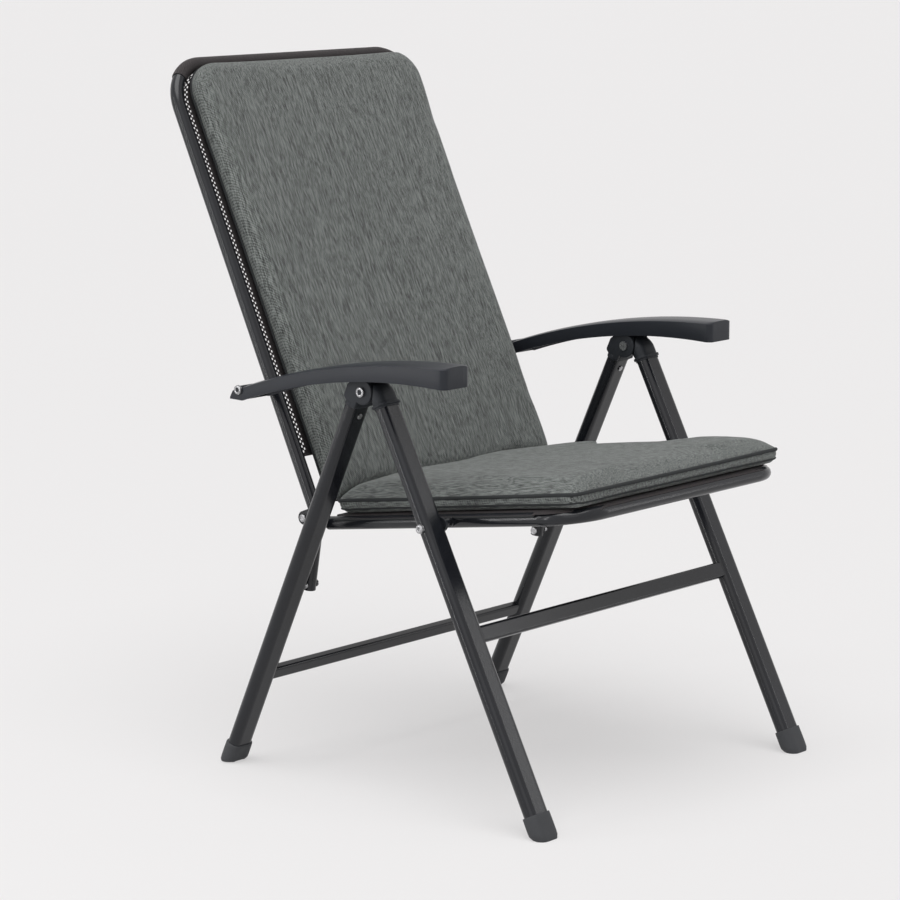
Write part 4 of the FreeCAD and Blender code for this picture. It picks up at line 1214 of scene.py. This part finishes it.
class CHAIR_OT_back_sling(bpy.types.Operator):
    """Back sling: woven panel, open mesh sides and a stitched sleeve over the top bar"""
    bl_idname = "chair.back_sling"
    bl_label = "Back sling"

    def execute(self, context):
        size = sizes()
        cloth = woven_mesh("sling_mesh_back", "back", colours().sling)
        inner = 0.2402
        outer = 0.2517
        # the seat rails pass below this edge as the chair folds
        low = 0.179
        top = BAR_UP
        # the cloth ends this far inside the tube's middle line
        inset = 0.0098
        corner = top - BAR_CORNER
        radius = BAR_CORNER - inset
        high = top - inset
        pieces = [panel("middle", -inner, inner, low, high, 30, 120)]
        for a, b in ((inner, outer), (-outer, -inner)):
            pieces.append(lattice("open", a, b, low, high, size.mesh_pitch))
        sheet = join("sling", pieces)

        def stand(p):
            x, v, level = p
            # the upper corners follow the tube's inner side
            if v > corner:
                rise = min(v - corner, radius)
                reach = outer - radius + math.sqrt(max(0.0, radius ** 2 - rise ** 2))
                if abs(x) > inner:
                    x = math.copysign(reach - (outer - abs(x)), x)
                else:
                    x *= (reach - (outer - inner)) / inner
            return Vector((x, BACK_PLANE - level, v))

        reshape(sheet, stand)
        edit_all(sheet, (bpy.ops.mesh.remove_doubles, {"threshold": 0.00002}),
                 (bpy.ops.mesh.dissolve_degenerate, {"threshold": 0.00005}))
        modifier(sheet, "SOLIDIFY", thickness=0.0012, offset=0)
        set_in(sheet, "back")
        # sleeve round the top bar, with a row of stitches on both faces below it
        half = BACK_HALF - BAR_CORNER
        arc = []
        for index in range(15):
            angle = math.radians(46 - 46 * index / 14)
            arc.append(Vector((half + BAR_CORNER * math.sin(angle), BACK_PLANE,
                               corner + BAR_CORNER * math.cos(angle))))
        middle = [Vector((half * (1 - index / 20), BACK_PLANE, top)) for index in range(1, 40)]
        line = arc + middle + [Vector((-p.x, p.y, p.z)) for p in reversed(arc)]
        sleeve = curve_piece("sleeve", line, 0.01125, "POLY", 6)
        hem = round_rod("hem", (-0.249, BACK_PLANE, low), (0.249, BACK_PLANE, low), 0.0018, 12)
        flap = block("flap", (-half, BACK_PLANE - 0.0016, top - 0.0215),
                     (half, BACK_PLANE + 0.0016, top - 0.009), (40, 0, 0))
        soften(flap, 0.0006, 2)
        trim = join("trim", [sleeve, hem, flap])
        set_in(trim, "back")
        stitches = []
        count = int(2 * half / size.stitch)
        seam = top - 0.0182
        for row in (BACK_PLANE - 0.0017, BACK_PLANE + 0.0017):
            for index in range(count):
                x = -half + (index + 0.5) * size.stitch
                stitches.append(round_rod("stitch", (x - 0.0021, row, seam),
                                          (x + 0.0021, row, seam), 0.00055, 6))
        thread = join("thread", stitches)
        set_in(thread, "back")
        finish_piece(sheet, "back_sling_mesh", "back", cloth, ["back_sling"], 30)
        finish_piece(trim, "back_sling_sleeve", "back", cloth, (), 40)
        finish_piece(thread, "back_sling_stitches", "back", sewn_and_shadow_cord(), (), 40)
        return {"FINISHED"}


class CHAIR_OT_seat_sling(bpy.types.Operator):
    """Seat sling drawn over the rails, with bound edges"""
    bl_idname = "chair.seat_sling"
    bl_label = "Seat sling"

    def execute(self, context):
        cloth = woven_mesh("sling_mesh_seat", "seat", colours().sling)
        radius = 0.0109
        # the cloth wraps this far round a side rail
        wrapped = math.radians(62)
        # where the sides start to turn in, and where the front edge starts to turn down
        front = -0.4820
        turn_in = 0.062
        lip = -0.4840
        low = -0.4920
        high = -0.0370
        sheet = panel("sling", -1, 1, low, high, 36, 40)

        def drape(p):
            u, y = p.xy
            flat = RAIL_HALF
            wrap = radius * wrapped
            near = max(0.0, (front + turn_in) - y) / turn_in
            shrink = 0.060 * (1 - math.sqrt(max(0.0, 1 - near ** 2)))
            s = u * (flat + wrap - shrink)
            if abs(s) <= flat - shrink or near > 0:
                x = s
                z = radius
                if near > 0 and abs(s) > flat - shrink:
                    z = radius - 0.003 * (abs(s) - flat + shrink) / wrap
            else:
                angle = (abs(s) - flat) / radius
                x = math.copysign(flat + radius * math.sin(angle), s)
                z = radius * math.cos(angle)
            # the front edge turns down over the front rail
            over = min(radius, max(0.0, lip - y))
            z -= radius - math.sqrt(radius ** 2 - over ** 2)
            return Vector((x, y, RAIL_DROP + z))

        reshape(sheet, drape)
        modifier(sheet, "SOLIDIFY", thickness=0.0011, offset=0)
        set_in(sheet, "seat")
        # bound edge cords along the rails
        edges = []
        for sign in (1, -1):
            x = (RAIL_HALF + (radius + 0.0004) * math.sin(wrapped)) * sign
            z = RAIL_DROP + (radius + 0.0004) * math.cos(wrapped)
            edges.append(round_rod("edge", (x, front + turn_in, z), (x, high, z), 0.0011, 10))
        edges.append(round_rod("edge", (-RAIL_HALF, high, RAIL_DROP + radius),
                               (RAIL_HALF, high, RAIL_DROP + radius), 0.0014, 10))
        binding = join("binding", edges)
        set_in(binding, "seat")
        finish_piece(sheet, "seat_sling_mesh", "seat", cloth, ["seat_sling"], 40)
        finish_piece(binding, "seat_sling_binding", "seat", sewn_and_shadow_cord(), (), 40)
        return {"FINISHED"}


class CHAIR_PT_panel(bpy.types.Panel):
    """Lists the chair's pieces"""
    bl_idname = "CHAIR_PT_panel"
    bl_label = "Folding chair"
    bl_space_type = "VIEW_3D"
    bl_region_type = "UI"
    bl_category = "Chair"

    def draw(self, context):
        for operator in OPERATORS:
            self.layout.operator(operator.bl_idname)


OPERATORS = (CHAIR_OT_stage, CHAIR_OT_metal, CHAIR_OT_fittings, CHAIR_OT_hinges,
             CHAIR_OT_rivets, CHAIR_OT_feet, CHAIR_OT_armrests, CHAIR_OT_back_sling,
             CHAIR_OT_seat_sling, CHAIR_OT_back_cushion, CHAIR_OT_seat_cushion)
CLASSES = (ChairSizes, ChairColours) + OPERATORS + (CHAIR_PT_panel,)


def register():
    for item in CLASSES:
        bpy.utils.register_class(item)
    bpy.types.Scene.chair_sizes = bpy.props.PointerProperty(type=ChairSizes)
    bpy.types.Scene.chair_colours = bpy.props.PointerProperty(type=ChairColours)


def unregister():
    del bpy.types.Scene.chair_sizes
    del bpy.types.Scene.chair_colours
    for item in reversed(CLASSES):
        bpy.utils.unregister_class(item)


def main():
    register()
    bpy.ops.chair.stage()
    bpy.ops.chair.metal()
    bpy.ops.chair.fittings()
    bpy.ops.chair.hinges()
    bpy.ops.chair.rivets()
    bpy.ops.chair.feet()
    bpy.ops.chair.armrests()
    bpy.ops.chair.back_sling()
    bpy.ops.chair.seat_sling()
    bpy.ops.chair.back_cushion()
    bpy.ops.chair.seat_cushion()
    clear()


if __name__ == "__main__":
    main()
